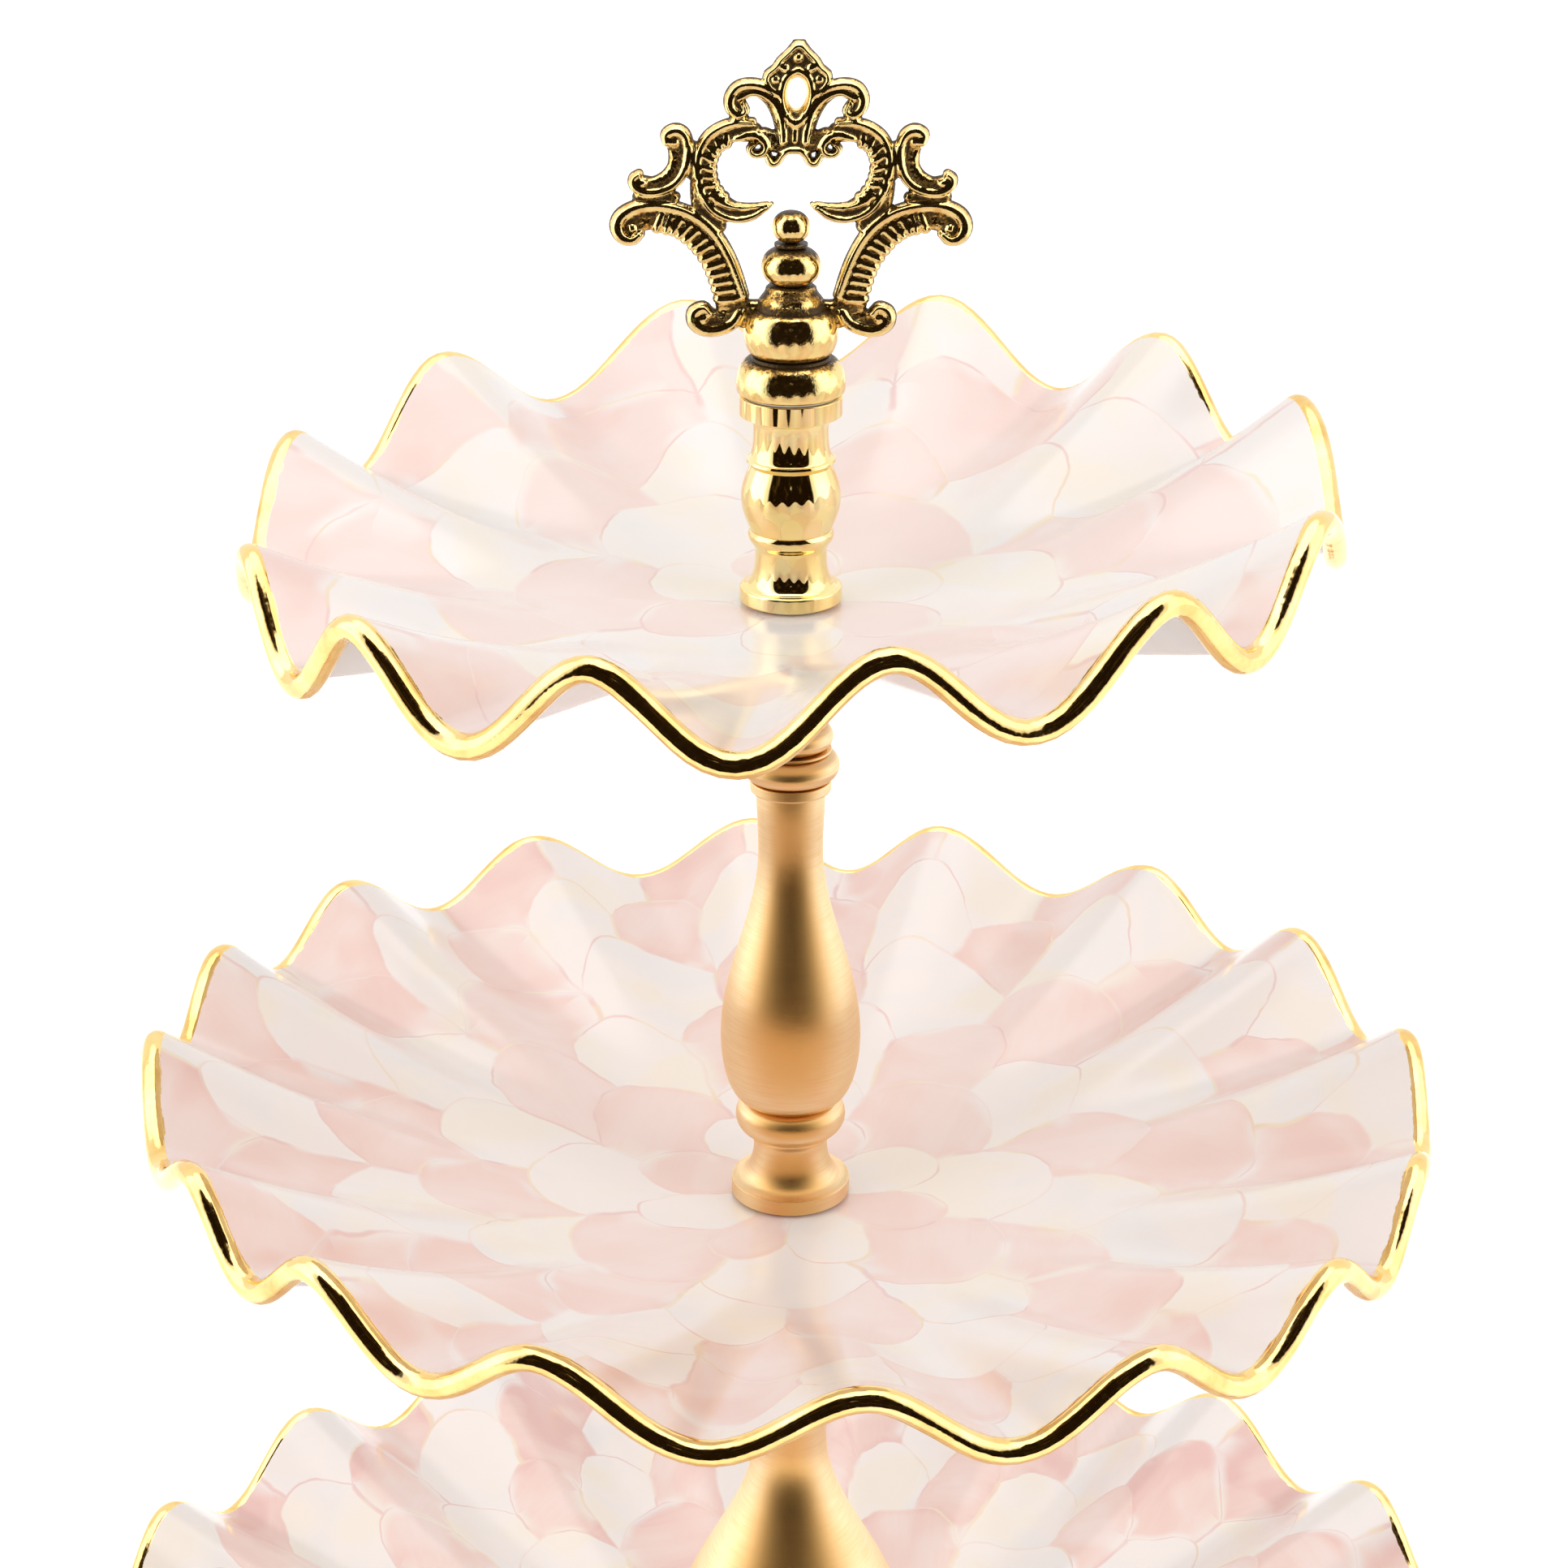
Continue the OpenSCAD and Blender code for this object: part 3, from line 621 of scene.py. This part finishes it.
def collar(node, neck):
    """Two rings and a bead round the top of a stem, under a hollow neck and the top flange."""
    tall, flange = height_of(node), radius_of(node)
    small, big_z, big_h, bead_h = neck + 1.9, 3, 7.2, 6
    bead_z = big_z + big_h + 1
    outline = ([(small - 0.3, 0), (small, 0.3), (small, big_z - 0.3)]
               + bead(small + 2, big_z, big_z + big_h)
               + [(small, big_z + big_h + 0.2), (small, bead_z - 0.1)]
               + bead(small + 0.4, bead_z, bead_z + bead_h)
               + s_curve((small - 1.2, bead_z + bead_h - 0.1), (neck - 1.2, bead_z + bead_h + 5), 10)
               + s_curve((neck - 1.2, tall - 12), (flange, tall - 3), 14)
               + [(flange, tall)])
    turned(f"{node}_turning", "column", "brushed_brass", BRUSHED, outline, [node])


NECK = 8.1                     # mm, radius of both stems' slender part
ring_and_flange("lower_stem_base", NECK + 5)
ring_and_flange("upper_stem_base", NECK + 1.2)
vase("lower_stem_vase", 17, 22, 66, NECK + 1.4, NECK + 1.6)
vase("upper_stem_vase", 11.2, 17.5, 51, NECK - 0.1, NECK + 0.4)
collar("lower_stem_collar", NECK)
collar("upper_stem_collar", NECK)


def foot():
    """Low round foot, hollowed to a small platform under the bottom plate."""
    tall, wide = height_of("foot"), radius_of("foot")
    platform = radius_of("lower_stem_base")
    edge, flange = 4, 3
    outline = ([(platform - 9, 0.01), (wide - 1, 0)] + bead(wide, 0, edge, 8)[3:]
               + [(wide - 2.2, edge + 0.4), (wide - 2.6, edge + 1)]
               + cove((wide - 4, edge + 1), (platform - 7, tall - flange - 4), 26)
               + s_curve((platform - 7, tall - flange - 3.6), (platform - 5, tall - flange), 5)
               + [(platform, tall - flange), (platform, tall)])
    turned("foot_turning", "column", "brushed_brass", BRUSHED, outline, ["foot"], sides=192)


foot()


POST_RISE = 1.35               # mm that the cap disc reaches up, to close the seam under the finial


def post():
    """Polished post: flange, waist, ring, ball, sharp ring, waist and cap disc."""
    quarter = [math.radians(a) for a in range(0, 91, 15)]
    shoulder = [(11.6 + 0.7 * math.cos(a), 2.9 + 0.7 * math.sin(a)) for a in quarter]
    ball = [(9.7 + 2.2 * math.sin(math.pi * i / 28), 17.6 + 15.8 * i / 28) for i in range(29)]
    outline = ([(12.1, 0), (12.3, 0.3)] + shoulder
               + cove((11.6, 3.7), (8.6, 10.3), 18)
               + s_curve((8.6, 12.4), (10.25, 16.2), 8)
               + [(10.3, 16.5), (10.15, 16.9), (9.65, 17.5)]
               + ball
               + [(9.75, 33.5), (10.6, 34.5), (10.5, 35)]
               + cove((10.4, 35.2), (8.9, 41.1), 16)
               + [(8.9, 42.4), (9.05, 43.8), (9.5, 44.8), (11.9, 45.7), (12.15, 45.9)]
               + [(12.15, 49 + POST_RISE - 0.1), (12.05, 49 + POST_RISE)])
    turned("post_turning", "column", "polished_brass", POLISHED, outline, ["top_post"], edge=0.12 * MM)


post()


# ---- washers, felt and fasteners ----

FELT_WIDTH = 12                # mm, of the ring of felt under the foot


def soft_ring(node, body, slot, material, corner, raised=0.0):
    """Flat ring with round corners, in place of a washer or the felt."""
    low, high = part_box(node)
    outer, tall = high.x / MM, (high.z - low.z) / MM
    corner = min(corner, tall * 0.45)
    outline = [(outer - corner, 0), (outer - 0.3 * corner, 0.3 * corner), (outer, corner),
               (outer, tall - corner), (outer - 0.3 * corner, tall - 0.3 * corner), (outer - corner, tall)]
    inner = (outer - FELT_WIDTH) * MM if material is FELT else BORE_R
    turned(f"{node}_ring", body, slot, material, outline, [node], bore=inner, edge=0.05 * MM, sides=96,
           raised=raised)


for tier in TIERS:
    for side in ("lower", "upper"):
        soft_ring(f"{tier.name}_plate_{side}_washer", "column", "clear_washer", NYLON, 0.25)
soft_ring("finial_washer", "finial_seat", "clear_washer", NYLON, 0.2, POST_RISE)
soft_ring("foot_felt", "column", "felt", FELT, 0.6)
for name in ("foot_washer", "foot_nut", "lower_tie_rod", "upper_tie_rod", "top_stud", "finial_stud"):
    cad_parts[name].data.materials.clear()
    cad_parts[name].data.materials.append(ZINC)


# ---- cast finial ----

def spline(points, step=0.4):
    """Smooth run of points through the given ones; every value of a point is carried along."""
    p = np.array(points, dtype=float)
    p = np.vstack([2 * p[0] - p[1], p, 2 * p[-1] - p[-2]])
    run = []
    for a, b, c, d in zip(p[:-3], p[1:-2], p[2:-1], p[3:]):
        count = max(2, int(np.linalg.norm(c[:2] - b[:2]) / step))
        t = (np.arange(count) / count)[:, None]
        run.append(0.5 * (2 * b + (c - a) * t + (2 * a - 5 * b + 4 * c - d) * t ** 2
                          + (3 * b - a - 3 * c + d) * t ** 3))
    return np.vstack(run + [p[-2:-1]])


def softened(values, passes):
    """Values of a grid, spread a little over their neighbours."""
    for _ in range(passes):
        for axis in (0, 1):
            values = (np.roll(values, 1, axis) + 2 * values + np.roll(values, -1, axis)) / 4
    return values


RIB_R, RIB_END_R = 0.98, 1.3   # mm, radii of a rib of the scrollwork at its two ends
EDGE_ROUND = 1.3               # mm over which the casting's outline is rounded
PIT_DEPTH = 0.28               # mm, usual depth of the pits in its low places


class Relief:
    """Heights over the flat of the casting, raised by strokes. Millimetres, from its middle and its foot."""

    def __init__(self, half_width, low, high, step):
        self.step, self.low, self.left = step, low, -half_width
        self.x, self.z = np.meshgrid(np.arange(-half_width, half_width + step, step),
                                     np.arange(low, high + step, step), indexing="ij")
        self.depth = np.full(self.x.shape, -2.0)     # distance inside the outline
        self.height = np.zeros(self.x.shape)

    def dab(self, a, b, r_a, r_b, top, flat):
        """Raises one short length between two points, round on top or nearly flat."""
        reach = max(r_a, r_b) + 1.2
        (i0, i1), (j0, j1) = [
            [int(math.floor((min(a[k], b[k]) - reach - start) / self.step)),
             int(math.ceil((max(a[k], b[k]) + reach - start) / self.step)) + 1]
            for k, start in ((0, self.left), (1, self.low))]
        area = (slice(max(i0, 0), i1), slice(max(j0, 0), j1))
        x, z = self.x[area], self.z[area]
        run = np.subtract(b, a)
        length = float(run @ run)
        t = np.clip(((x - a[0]) * run[0] + (z - a[1]) * run[1]) / length, 0, 1) if length > 1e-9 else 0 * x
        gap = np.hypot(x - a[0] - t * run[0], z - a[1] - t * run[1])
        r = r_a + (r_b - r_a) * t
        self.depth[area] = np.maximum(self.depth[area], r - gap)
        dome = np.sqrt(np.clip(r * r - gap * gap, 0, None))
        shape = top * (0.86 + 0.14 * dome / r) if flat else top - r + dome
        self.height[area] = np.where(gap < r, np.maximum(self.height[area], shape), self.height[area])

    def stroke(self, points, top, flat=False):
        """A length along a smooth run of (x, z, radius) points, and its mirror image."""
        run = spline(points)
        for side in (1, -1):
            for a, b in zip(run[:-1], run[1:]):
                self.dab((side * a[0], a[1]), (side * b[0], b[1]), a[2], b[2], top, flat)

    def knob(self, x, z, r, top):
        """A round boss, and its mirror image where it isn't in the middle."""
        for side in ((1, -1) if x else (1,)):
            self.dab((side * x, z), (side * x, z), r, r, top, False)

    def ribs(self, points, pitch, inner, outer, top, slant=0.25):
        """Short ridges across a run, from inner to outer beside its middle line."""
        run = spline(points)
        legs = np.linalg.norm(np.diff(run[:, :2], axis=0), axis=1)
        gone = np.concatenate([[0], np.cumsum(legs)])
        for at in np.arange(pitch / 2, gone[-1], pitch):
            k = min(int(np.searchsorted(gone, at)), len(run) - 2)
            ahead = (run[k + 1, :2] - run[k, :2]) / np.linalg.norm(run[k + 1, :2] - run[k, :2])
            across = np.array([ahead[1], -ahead[0]])
            near, far = run[k, :2] + across * inner, run[k, :2] + across * outer + ahead * pitch * slant
            for side in (1, -1):
                self.dab((side * near[0], near[1]), (side * far[0], far[1]), RIB_R, RIB_END_R, top, False)

    def filled(self, half, top):
        """Raises the whole inside of an outline given by its right half from the tip down."""
        outline = [(0.0, half[0][1])] + list(half) + [(0.0, half[-1][1])]
        p = np.array(outline)
        width = np.interp(self.z, p[::-1, 1], p[::-1, 0])
        inside = (self.z < p[:, 1].max()) & (self.z > p[:, 1].min())
        depth = np.where(inside, width - np.abs(self.x), -2)
        self.depth = np.maximum(self.depth, np.minimum(depth, 0.8 * (p[:, 1].max() - self.z)))
        self.height = np.where((depth > 0) & inside, np.maximum(self.height, top), self.height)

    def pierced(self, x, z, wide, tall):
        """Cuts an oval opening."""
        for side in ((1, -1) if x else (1,)):
            oval = np.hypot((self.x - side * x) / wide, (self.z - z) / tall)
            self.depth = np.minimum(self.depth, (oval - 1) * min(wide, tall))

    def finished(self, grain):
        """Rounds the outline's edge, pits the low places and finds the hollows."""
        edge = np.clip(self.depth / EDGE_ROUND, 0, 1)
        smooth = softened(self.height, 2)
        low = np.clip((2.3 - smooth) / 0.9, 0, 1)               # 1 on the web, 0 from the low rims up
        pits = softened(grain.standard_normal(self.x.shape), 1) * PIT_DEPTH * low
        height = (smooth + pits) * np.sqrt(1 - (1 - edge) ** 2)
        around = softened(np.where(self.depth > 0, smooth, 1.2), 26)     # the usual level nearby
        self.hollow = np.clip((around - smooth) / 0.75 + 0.32 * low - 0.06, 0, 1)
        self.height = np.where(self.depth > 0, np.maximum(height, 0.02), 0)


LEAN = 0.045                   # how much the casting bends to one side above its middle
LEAN_FROM = 43                 # mm above its foot


def scrollwork():
    """The pierced scrollwork's height above its middle plane, the same on both faces."""
    web, low_rim, rib_top, ridge = 1.7, 2.3, 2.45, 2.75     # heights of its four levels
    r = Relief(45, 11, 86, 0.28)

    # curl beside the column
    r.stroke([(6, 20, 3.6), (10, 20, 3.6), (13.5, 21, 3.4)], web, flat=True)
    r.stroke([(13, 19.5, 2.6), (17, 18.6, 2.6), (20.4, 19.3, 2.6)], web, flat=True)
    r.stroke([(11.8, 20.6, 1.4), (13.6, 18, 1.7), (16.8, 16.5, 1.8), (20.2, 16.5, 1.9), (22.3, 18.2, 2),
              (22.4, 20.6, 1.8), (20.4, 21.8, 1.4), (18.8, 20.6, 1.1)], ridge)
    r.knob(20.3, 19.3, 1.35, ridge)

    # long ribbed arm with a smooth band, and the curl at its end
    arm = [(13.6, 22.5, 4.0), (14.6, 27, 3.75), (16.6, 32.6, 3.5), (20.2, 37.9, 3.4), (25.2, 41.9, 3.2),
           (30.6, 43.2, 3.1), (35.6, 42.2, 3.0)]
    r.stroke(arm, web, flat=True)
    r.ribs(arm[:-1], 2.25, -0.9, 3.0, rib_top)
    r.stroke([(10.6, 24.6, 1.0), (12.4, 29.8, 1.25), (14.2, 34.2, 1.3), (16.8, 38.6, 1.35),
              (20.2, 42.1, 1.35), (24, 44.4, 1.4), (28.2, 45.6, 1.45), (32.2, 45.9, 1.5),
              (36, 45.2, 1.7), (38.9, 43.3, 1.95), (39.9, 40.7, 2.0), (38.8, 38.3, 1.85),
              (36.6, 37.7, 1.6), (34.9, 39, 1.3)], ridge)
    r.knob(36.6, 40.4, 1.4, ridge)
    r.stroke([(12.2, 24, .7), (14.2, 29.4, .7), (16, 33.8, .7), (18.8, 37.8, .7), (22.4, 41.2, .7),
              (26.4, 43.1, .7)], low_rim)

    # web and strut between the arm and the lobe
    r.stroke([(17, 41, 2.2), (20.4, 44, 2.0), (21.6, 47, 1.7), (22, 50.5, 1.6)], web, flat=True)
    r.stroke([(26.8, 47.6, 1.3), (31, 47.3, 1.5), (35.4, 47.6, 1.3)], web, flat=True)

    # outer scroll between its two knobs
    r.stroke([(27, 61.5, 2.8), (26.2, 58, 2.6), (26.5, 54.4, 2.5), (28.6, 51.6, 2.4), (31.8, 50.2, 2.2),
              (35, 50.6, 2.2)], web, flat=True)
    r.stroke([(29.2, 60.2, 1.1), (29.3, 62.2, 1.4), (27.3, 63.2, 1.5), (25.2, 62.3, 1.4), (24.1, 59.6, 1.2),
              (24.2, 56.4, 1.15), (25.1, 53, 1.15), (27.2, 50.4, 1.2), (30.2, 49, 1.25), (33.6, 48.8, 1.35),
              (36, 50, 1.4), (36.5, 51.9, 1.3), (35.3, 53, 1.1)], ridge)
    r.knob(27.3, 60.6, 1.25, ridge)
    r.knob(34.4, 51.2, 1.2, ridge)
    r.stroke([(22.4, 53, 2), (24, 56, 2.2), (23.6, 59, 1.8)], web, flat=True)

    # lobe round the finger opening, its curl and its leaf
    lobe = [(9.6, 62.6, 2.3), (14.4, 62.5, 2.5), (18, 60.8, 2.5), (20.2, 57.4, 2.4), (20.6, 53.2, 2.3),
            (19.3, 49, 2.6), (16.6, 45.7, 2.9), (12.6, 43.8, 2.4), (9, 43.8, 1.8), (5.4, 45.4, 0.7)]
    r.stroke(lobe, web, flat=True)
    r.ribs(lobe[1:7], 2.3, 0.0, 2.1, rib_top)
    r.stroke([(9.8, 65, 1.0), (13, 65, 1.2), (16.6, 64, 1.3), (19.8, 61.8, 1.35), (21.7, 58.4, 1.3),
              (22, 54.6, 1.25), (21.4, 51, 1.15), (20.2, 47.6, 1.1), (17.6, 44.4, 1.1), (13.8, 42.6, 1.0),
              (9.8, 42.9, 0.9), (6.4, 44.5, 0.75), (4.6, 46, 0.5)], ridge)
    r.stroke([(18.6, 48.4, .8), (15.6, 46.3, .8), (12, 45.6, .75), (8.4, 45.6, .65), (5.6, 46, .5)], ridge)
    r.stroke([(13.2, 61.2, 1.0), (9.9, 62.2, 1.25), (7.4, 61, 1.3), (6.5, 59.1, 1.25), (7.4, 57.7, 1.2),
              (9.2, 57.6, 1.1), (10.1, 58.9, 1.0), (9.1, 59.8, .8)], ridge)

    # middle of the crest, the small arch under it and the two stems that rise from it
    r.stroke([(0, 59.3, 2.0), (3.6, 60, 2.4), (7, 61.5, 2.2)], web, flat=True)
    r.stroke([(0, 61, 3.4), (0, 66.5, 2.6)], web, flat=True)
    r.stroke([(6, 57.2, 1.0), (5, 55.5, 1.15), (3.7, 55.8, 1.1), (2.7, 57.4, 1.05), (1.3, 58.4, 1.05),
              (0, 58.6, 1.05)], ridge)
    r.stroke([(2.5, 60.6, 0.9), (2.6, 63, 1.0), (3.2, 66, 1.05), (4.6, 69, 1.1), (7, 71, 1.15),
              (10.2, 71.7, 1.15), (12.8, 70.5, 1.1)], low_rim + 0.2)
    r.stroke([(0, 60.8, .8), (0, 64.4, 1.0)], low_rim)

    # fern scroll beside the leaf
    r.stroke([(2.6, 61, 1.6), (3.6, 66, 1.8), (5.6, 70.2, 2.0), (8.8, 72.5, 2.0), (12, 72.2, 1.9),
              (14, 70, 1.8), (13.5, 67.6, 1.7)], web, flat=True)
    r.stroke([(4.6, 71.6, 1.0), (7.6, 73.3, 1.15), (11, 73.8, 1.25), (13.8, 72.8, 1.4), (15.2, 70.4, 1.45),
              (14.8, 67.9, 1.4), (13, 66.6, 1.35), (11.5, 67.4, 1.1), (11.9, 68.8, .9)], ridge)
    r.stroke([(13.4, 66.6, 1.2), (14, 64.8, 1.2)], web, flat=True)

    # pierced leaf at the top, with its raised edge and five small beads
    leaf = [(1.2, 83.6), (3.1, 81.2), (5.0, 79.4), (5.8, 78.0), (7.6, 76.6), (8.1, 74.6), (6.6, 72.2),
            (4.4, 70.2), (3.0, 67)]
    r.filled(leaf, web)
    r.stroke([(0.3, 82.7, .7), (2.4, 80.8, .8), (4.2, 79, .8), (5.2, 77.4, .8), (6.8, 76.1, .8),
              (7.2, 74.6, .8), (6.2, 72.9, .7)], ridge)
    for x, z in ((0, 79.9), (3.0, 77.5), (5.0, 74.9)):
        r.knob(x, z, 1.2, ridge)
    r.stroke([(0, 64.6, 1.0), (2.2, 66.4, 1.1), (3.2, 69.4, 1.1), (3.3, 72.4, 1.15), (2.4, 75.2, 1.15),
              (0, 76.8, 1.15)], ridge)
    r.pierced(0, 71.4, 2.1, 3.5)

    r.finished(np.random.default_rng(7))
    return r


def relief_piece(relief, foot):
    """Closed mesh of a relief: its outline lies on the middle plane and both faces rise from it."""
    kept = relief.depth > 0
    corners = [kept[:-1, :-1], kept[1:, :-1], kept[1:, 1:], kept[:-1, 1:]]
    cells = np.argwhere(np.logical_or.reduce(corners))
    slope_x, slope_z = np.gradient(relief.depth, relief.step)
    steep = np.maximum(slope_x ** 2 + slope_z ** 2, 0.25)
    pull = np.where(kept, 0, -relief.depth / steep)
    limit = 1.5 * relief.step
    x = relief.x + np.clip(pull * slope_x, -limit, limit)
    z = relief.z + np.clip(pull * slope_z, -limit, limit)
    x = x + LEAN * np.clip(z - LEAN_FROM, 0, None)
    number = np.arange(relief.x.size).reshape(relief.x.shape)
    i, j = cells[:, 0], cells[:, 1]
    front = np.stack([number[i, j], number[i + 1, j], number[i + 1, j + 1], number[i, j + 1]], axis=1)
    back = np.where(kept.ravel()[front], front + relief.x.size, front)[:, ::-1]
    used, faces = np.unique(np.concatenate([front, back]), return_inverse=True)
    side = np.where(used >= relief.x.size, 1, -1)
    source = used % relief.x.size
    height = relief.height.ravel()[source] * side
    points = np.stack([x.ravel()[source] * MM, height * MM, z.ravel()[source] * MM + foot], axis=1)
    piece = add_piece("finial_scrollwork", points, faces.reshape(-1, 4), [CAST], sharp=180)
    hollow = piece.data.attributes.new("hollow", "FLOAT", "POINT")
    hollow.data.foreach_set("value", relief.hollow.ravel()[source].astype(np.float32))
    return piece


def bead_column(foot):
    """Turned column of four beads in the middle of the casting."""
    low = [(12.1, POST_RISE), (12.3, POST_RISE + 0.2)]
    low += [(9.4 + 3.5 * math.cos(t), 3.6 + 5.9 * math.sin(t)) for t in np.linspace(-0.28, math.pi / 2, 18)]
    barrel = [(8.2 + 2.9 * abs(math.sin(math.pi * i / 26)) ** 0.42, 10.3 + 11.1 * i / 26) for i in range(27)]
    outline = (low + [(9.2, 9.8), (9.1, 10.1)]
               + barrel + [(8.2, 21.8), (8.0, 22.3)]
               + s_curve((8.0, 22.3), (5.9, 26.4), 8) + [(5.3, 26.9)]
               + bead(7.0, 27, 35.8, 20) + [(3.9, 36.2), (3.9, 36.8)]
               + bead(4.45, 36.9, 44.3, 20)[:-1] + [(0.4, 44.35)])
    r = np.array([p[0] for p in outline])
    z = np.array([p[1] for p in outline])
    nearby = np.array([np.interp(np.linspace(h - 2.2, h + 2.2, 9), z, r).max() for h in z])
    recess = np.clip((nearby - r) / 2.4, 0, 1)
    sides = 160
    a = np.arange(sides) * math.tau / sides
    points = [(x * MM * math.cos(t), x * MM * math.sin(t), foot + h * MM) for x, h in outline for t in a]
    faces = list(grid_faces(len(outline), sides))
    faces += [tuple(range(sides)), tuple(range(sides * (len(outline) - 1), sides * len(outline)))]
    piece = add_piece("finial_bead_column", points, faces, [CAST], sharp=50)
    flank = np.clip((np.abs(np.cos(a)) - 0.8) / 0.2, 0, 1)[None, :] * np.clip((z - 9) / 6, 0, 1)[:, None]
    values = np.clip(recess[:, None] * 0.85 + 0.3 * flank - 0.16, 0, 1)
    hollow = piece.data.attributes.new("hollow", "FLOAT", "POINT")
    hollow.data.foreach_set("value", values.ravel().astype(np.float32))
    return piece


finial_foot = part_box("finial_crown")[0].z
for piece in (relief_piece(scrollwork(), finial_foot), bead_column(finial_foot)):
    fit(piece, "finial", "antique_brass", "finial_crown")


# ---- studio ----

CAMERA_AT = (0, -0.820, 0.672)
CAMERA_TURN = (math.radians(67.7), 0, 0.002)
CAMERA_LENS = 83.2             # mm, in front of a sensor 36 mm wide

camera = bpy.data.objects.new("camera", bpy.data.cameras.new("camera"))
camera.location, camera.rotation_euler = CAMERA_AT, CAMERA_TURN
camera.data.lens, camera.data.sensor_width = CAMERA_LENS, 36
camera.data.clip_start, camera.data.clip_end = 0.05, 50
bpy.context.scene.collection.objects.link(camera)
bpy.context.scene.camera = camera


def softbox(name, at, aim, size, power):
    """Square soft lamp at a place, facing another."""
    lamp = bpy.data.lights.new(name, "AREA")
    lamp.size, lamp.energy = size, power
    holder = bpy.data.objects.new(name, lamp)
    holder.location = at
    holder.rotation_euler = (Vector(aim) - Vector(at)).to_track_quat("-Z", "Y").to_euler()
    holder.visible_glossy = False
    bpy.context.scene.collection.objects.link(holder)


softbox("left_softbox", (-1.6, -0.9, 1.5), (0, 0, 0.3), 1.0, 7.5)
softbox("right_softbox", (1.6, -0.9, 1.5), (0, 0, 0.3), 1.0, 6.5)


def seen(kit):
    """1 for rays that show the surroundings: from the camera, and by reflection or through a material."""
    path = kit.node("LightPath", output="Is Camera Ray")
    return path, path.other("Is Glossy Ray").most(path.other("Is Transmission Ray"))


def table_white(kit):
    """Pale table top that turns to plain white away from the stand and keeps the shadow near it."""
    place = kit.place()
    x, y, _ = kit.parts(place)
    away = (x * x + y * y).root().ramp(150, 330)
    camera_ray, mirror_ray = seen(kit)
    glow = kit.blend((0, 0, 0, 1), (1, 1, 1, 1), camera_ray.most(mirror_ray) * (0.1 + 0.5 * away))
    kit.surface(Base_Color=(0.86, 0.86, 0.86, 1), Roughness=0.7, Specular_IOR_Level=0.1,
                Emission_Color=glow, Emission_Strength=1.0)


def table():
    """Table top that ends a little in front of the stand."""
    front, back, half = -0.55, 4.5, 3.5
    count = 24                 # points along each side
    x, y = np.meshgrid(np.linspace(-half, half, count), np.linspace(front, back, count))
    made = bmesh.new()
    corners = [made.verts.new((a, b, 0)) for a, b in zip(x.ravel(), y.ravel())]
    for row in range(count - 1):
        for column in range(count - 1):
            k = row * count + column
            made.faces.new([corners[k], corners[k + 1], corners[k + count + 1], corners[k + count]])
    mesh = bpy.data.meshes.new("table_top")
    made.to_mesh(mesh)
    made.free()
    mesh.materials.append(finish("table_white", table_white))
    top = bpy.data.objects.new("table_top", mesh)
    bpy.context.scene.collection.objects.link(top)


table()


ROOM = (0.009, 0.004, 0.001, 1)    # what a mirror shows of the unlit room behind the camera
AMBIENT = 0.86                 # light that falls on the stand from all around


def studio(kit):
    """Even white light; mirrors also see bright panels at both sides and the dark room in front."""
    toward = kit.node("TexCoord", output="Generated")
    x, y, z = kit.parts(toward)
    flat = (x * x + y * y).root().most(0.001)
    ahead, aside = 0 - y / flat, x / flat
    murk = kit.noise(toward, 0.22, 4.0, 0.6)
    torn = (murk - 0.5) * 0.05
    room = (ahead + torn).ramp(0.56, 0.62) * (z + torn).ramp(0.92, 0.88)
    panels = ahead.ramp(0.5, 0.36) * ahead.ramp(-0.42, -0.25) * z.ramp(-0.4, -0.1) * z.ramp(0.92, 0.7)
    panels = panels * (0.8 + 0.5 * aside.ramp(0.3, -0.3))
    overhead = z.ramp(0.76, 0.9)
    window = (aside - 0.02).absolute().ramp(0.06, 0.03) * z.ramp(0.31, 0.34) * z.ramp(0.44, 0.4)
    glint = window * murk.ramp(0.4, 0.6)
    camera_ray, mirror_ray = seen(kit)
    shown = kit.blend(ROOM, (0.11, 0.07, 0.02, 1), murk.ramp(0.52, 0.75) * 0.6)
    shown = kit.blend(shown, (0.8, 0.72, 0.5, 1), glint)
    shown = kit.blend((1, 1, 1, 1), shown, room * mirror_ray)
    around = AMBIENT * (1.12 - 0.26 * z.ramp(0.2, 0.95))
    light = around + camera_ray * (1 - around) + mirror_ray * (1.1 + panels + 1.3 * overhead - around)
    kit.node_out("OutputWorld", kit.node("Background", inputs={"Color": shown, "Strength": light}))


world = bpy.data.worlds.new("studio")
world.use_nodes = True
studio(Kit(world.node_tree))
bpy.context.scene.world = world
bpy.context.scene.view_settings.view_transform = "Standard"
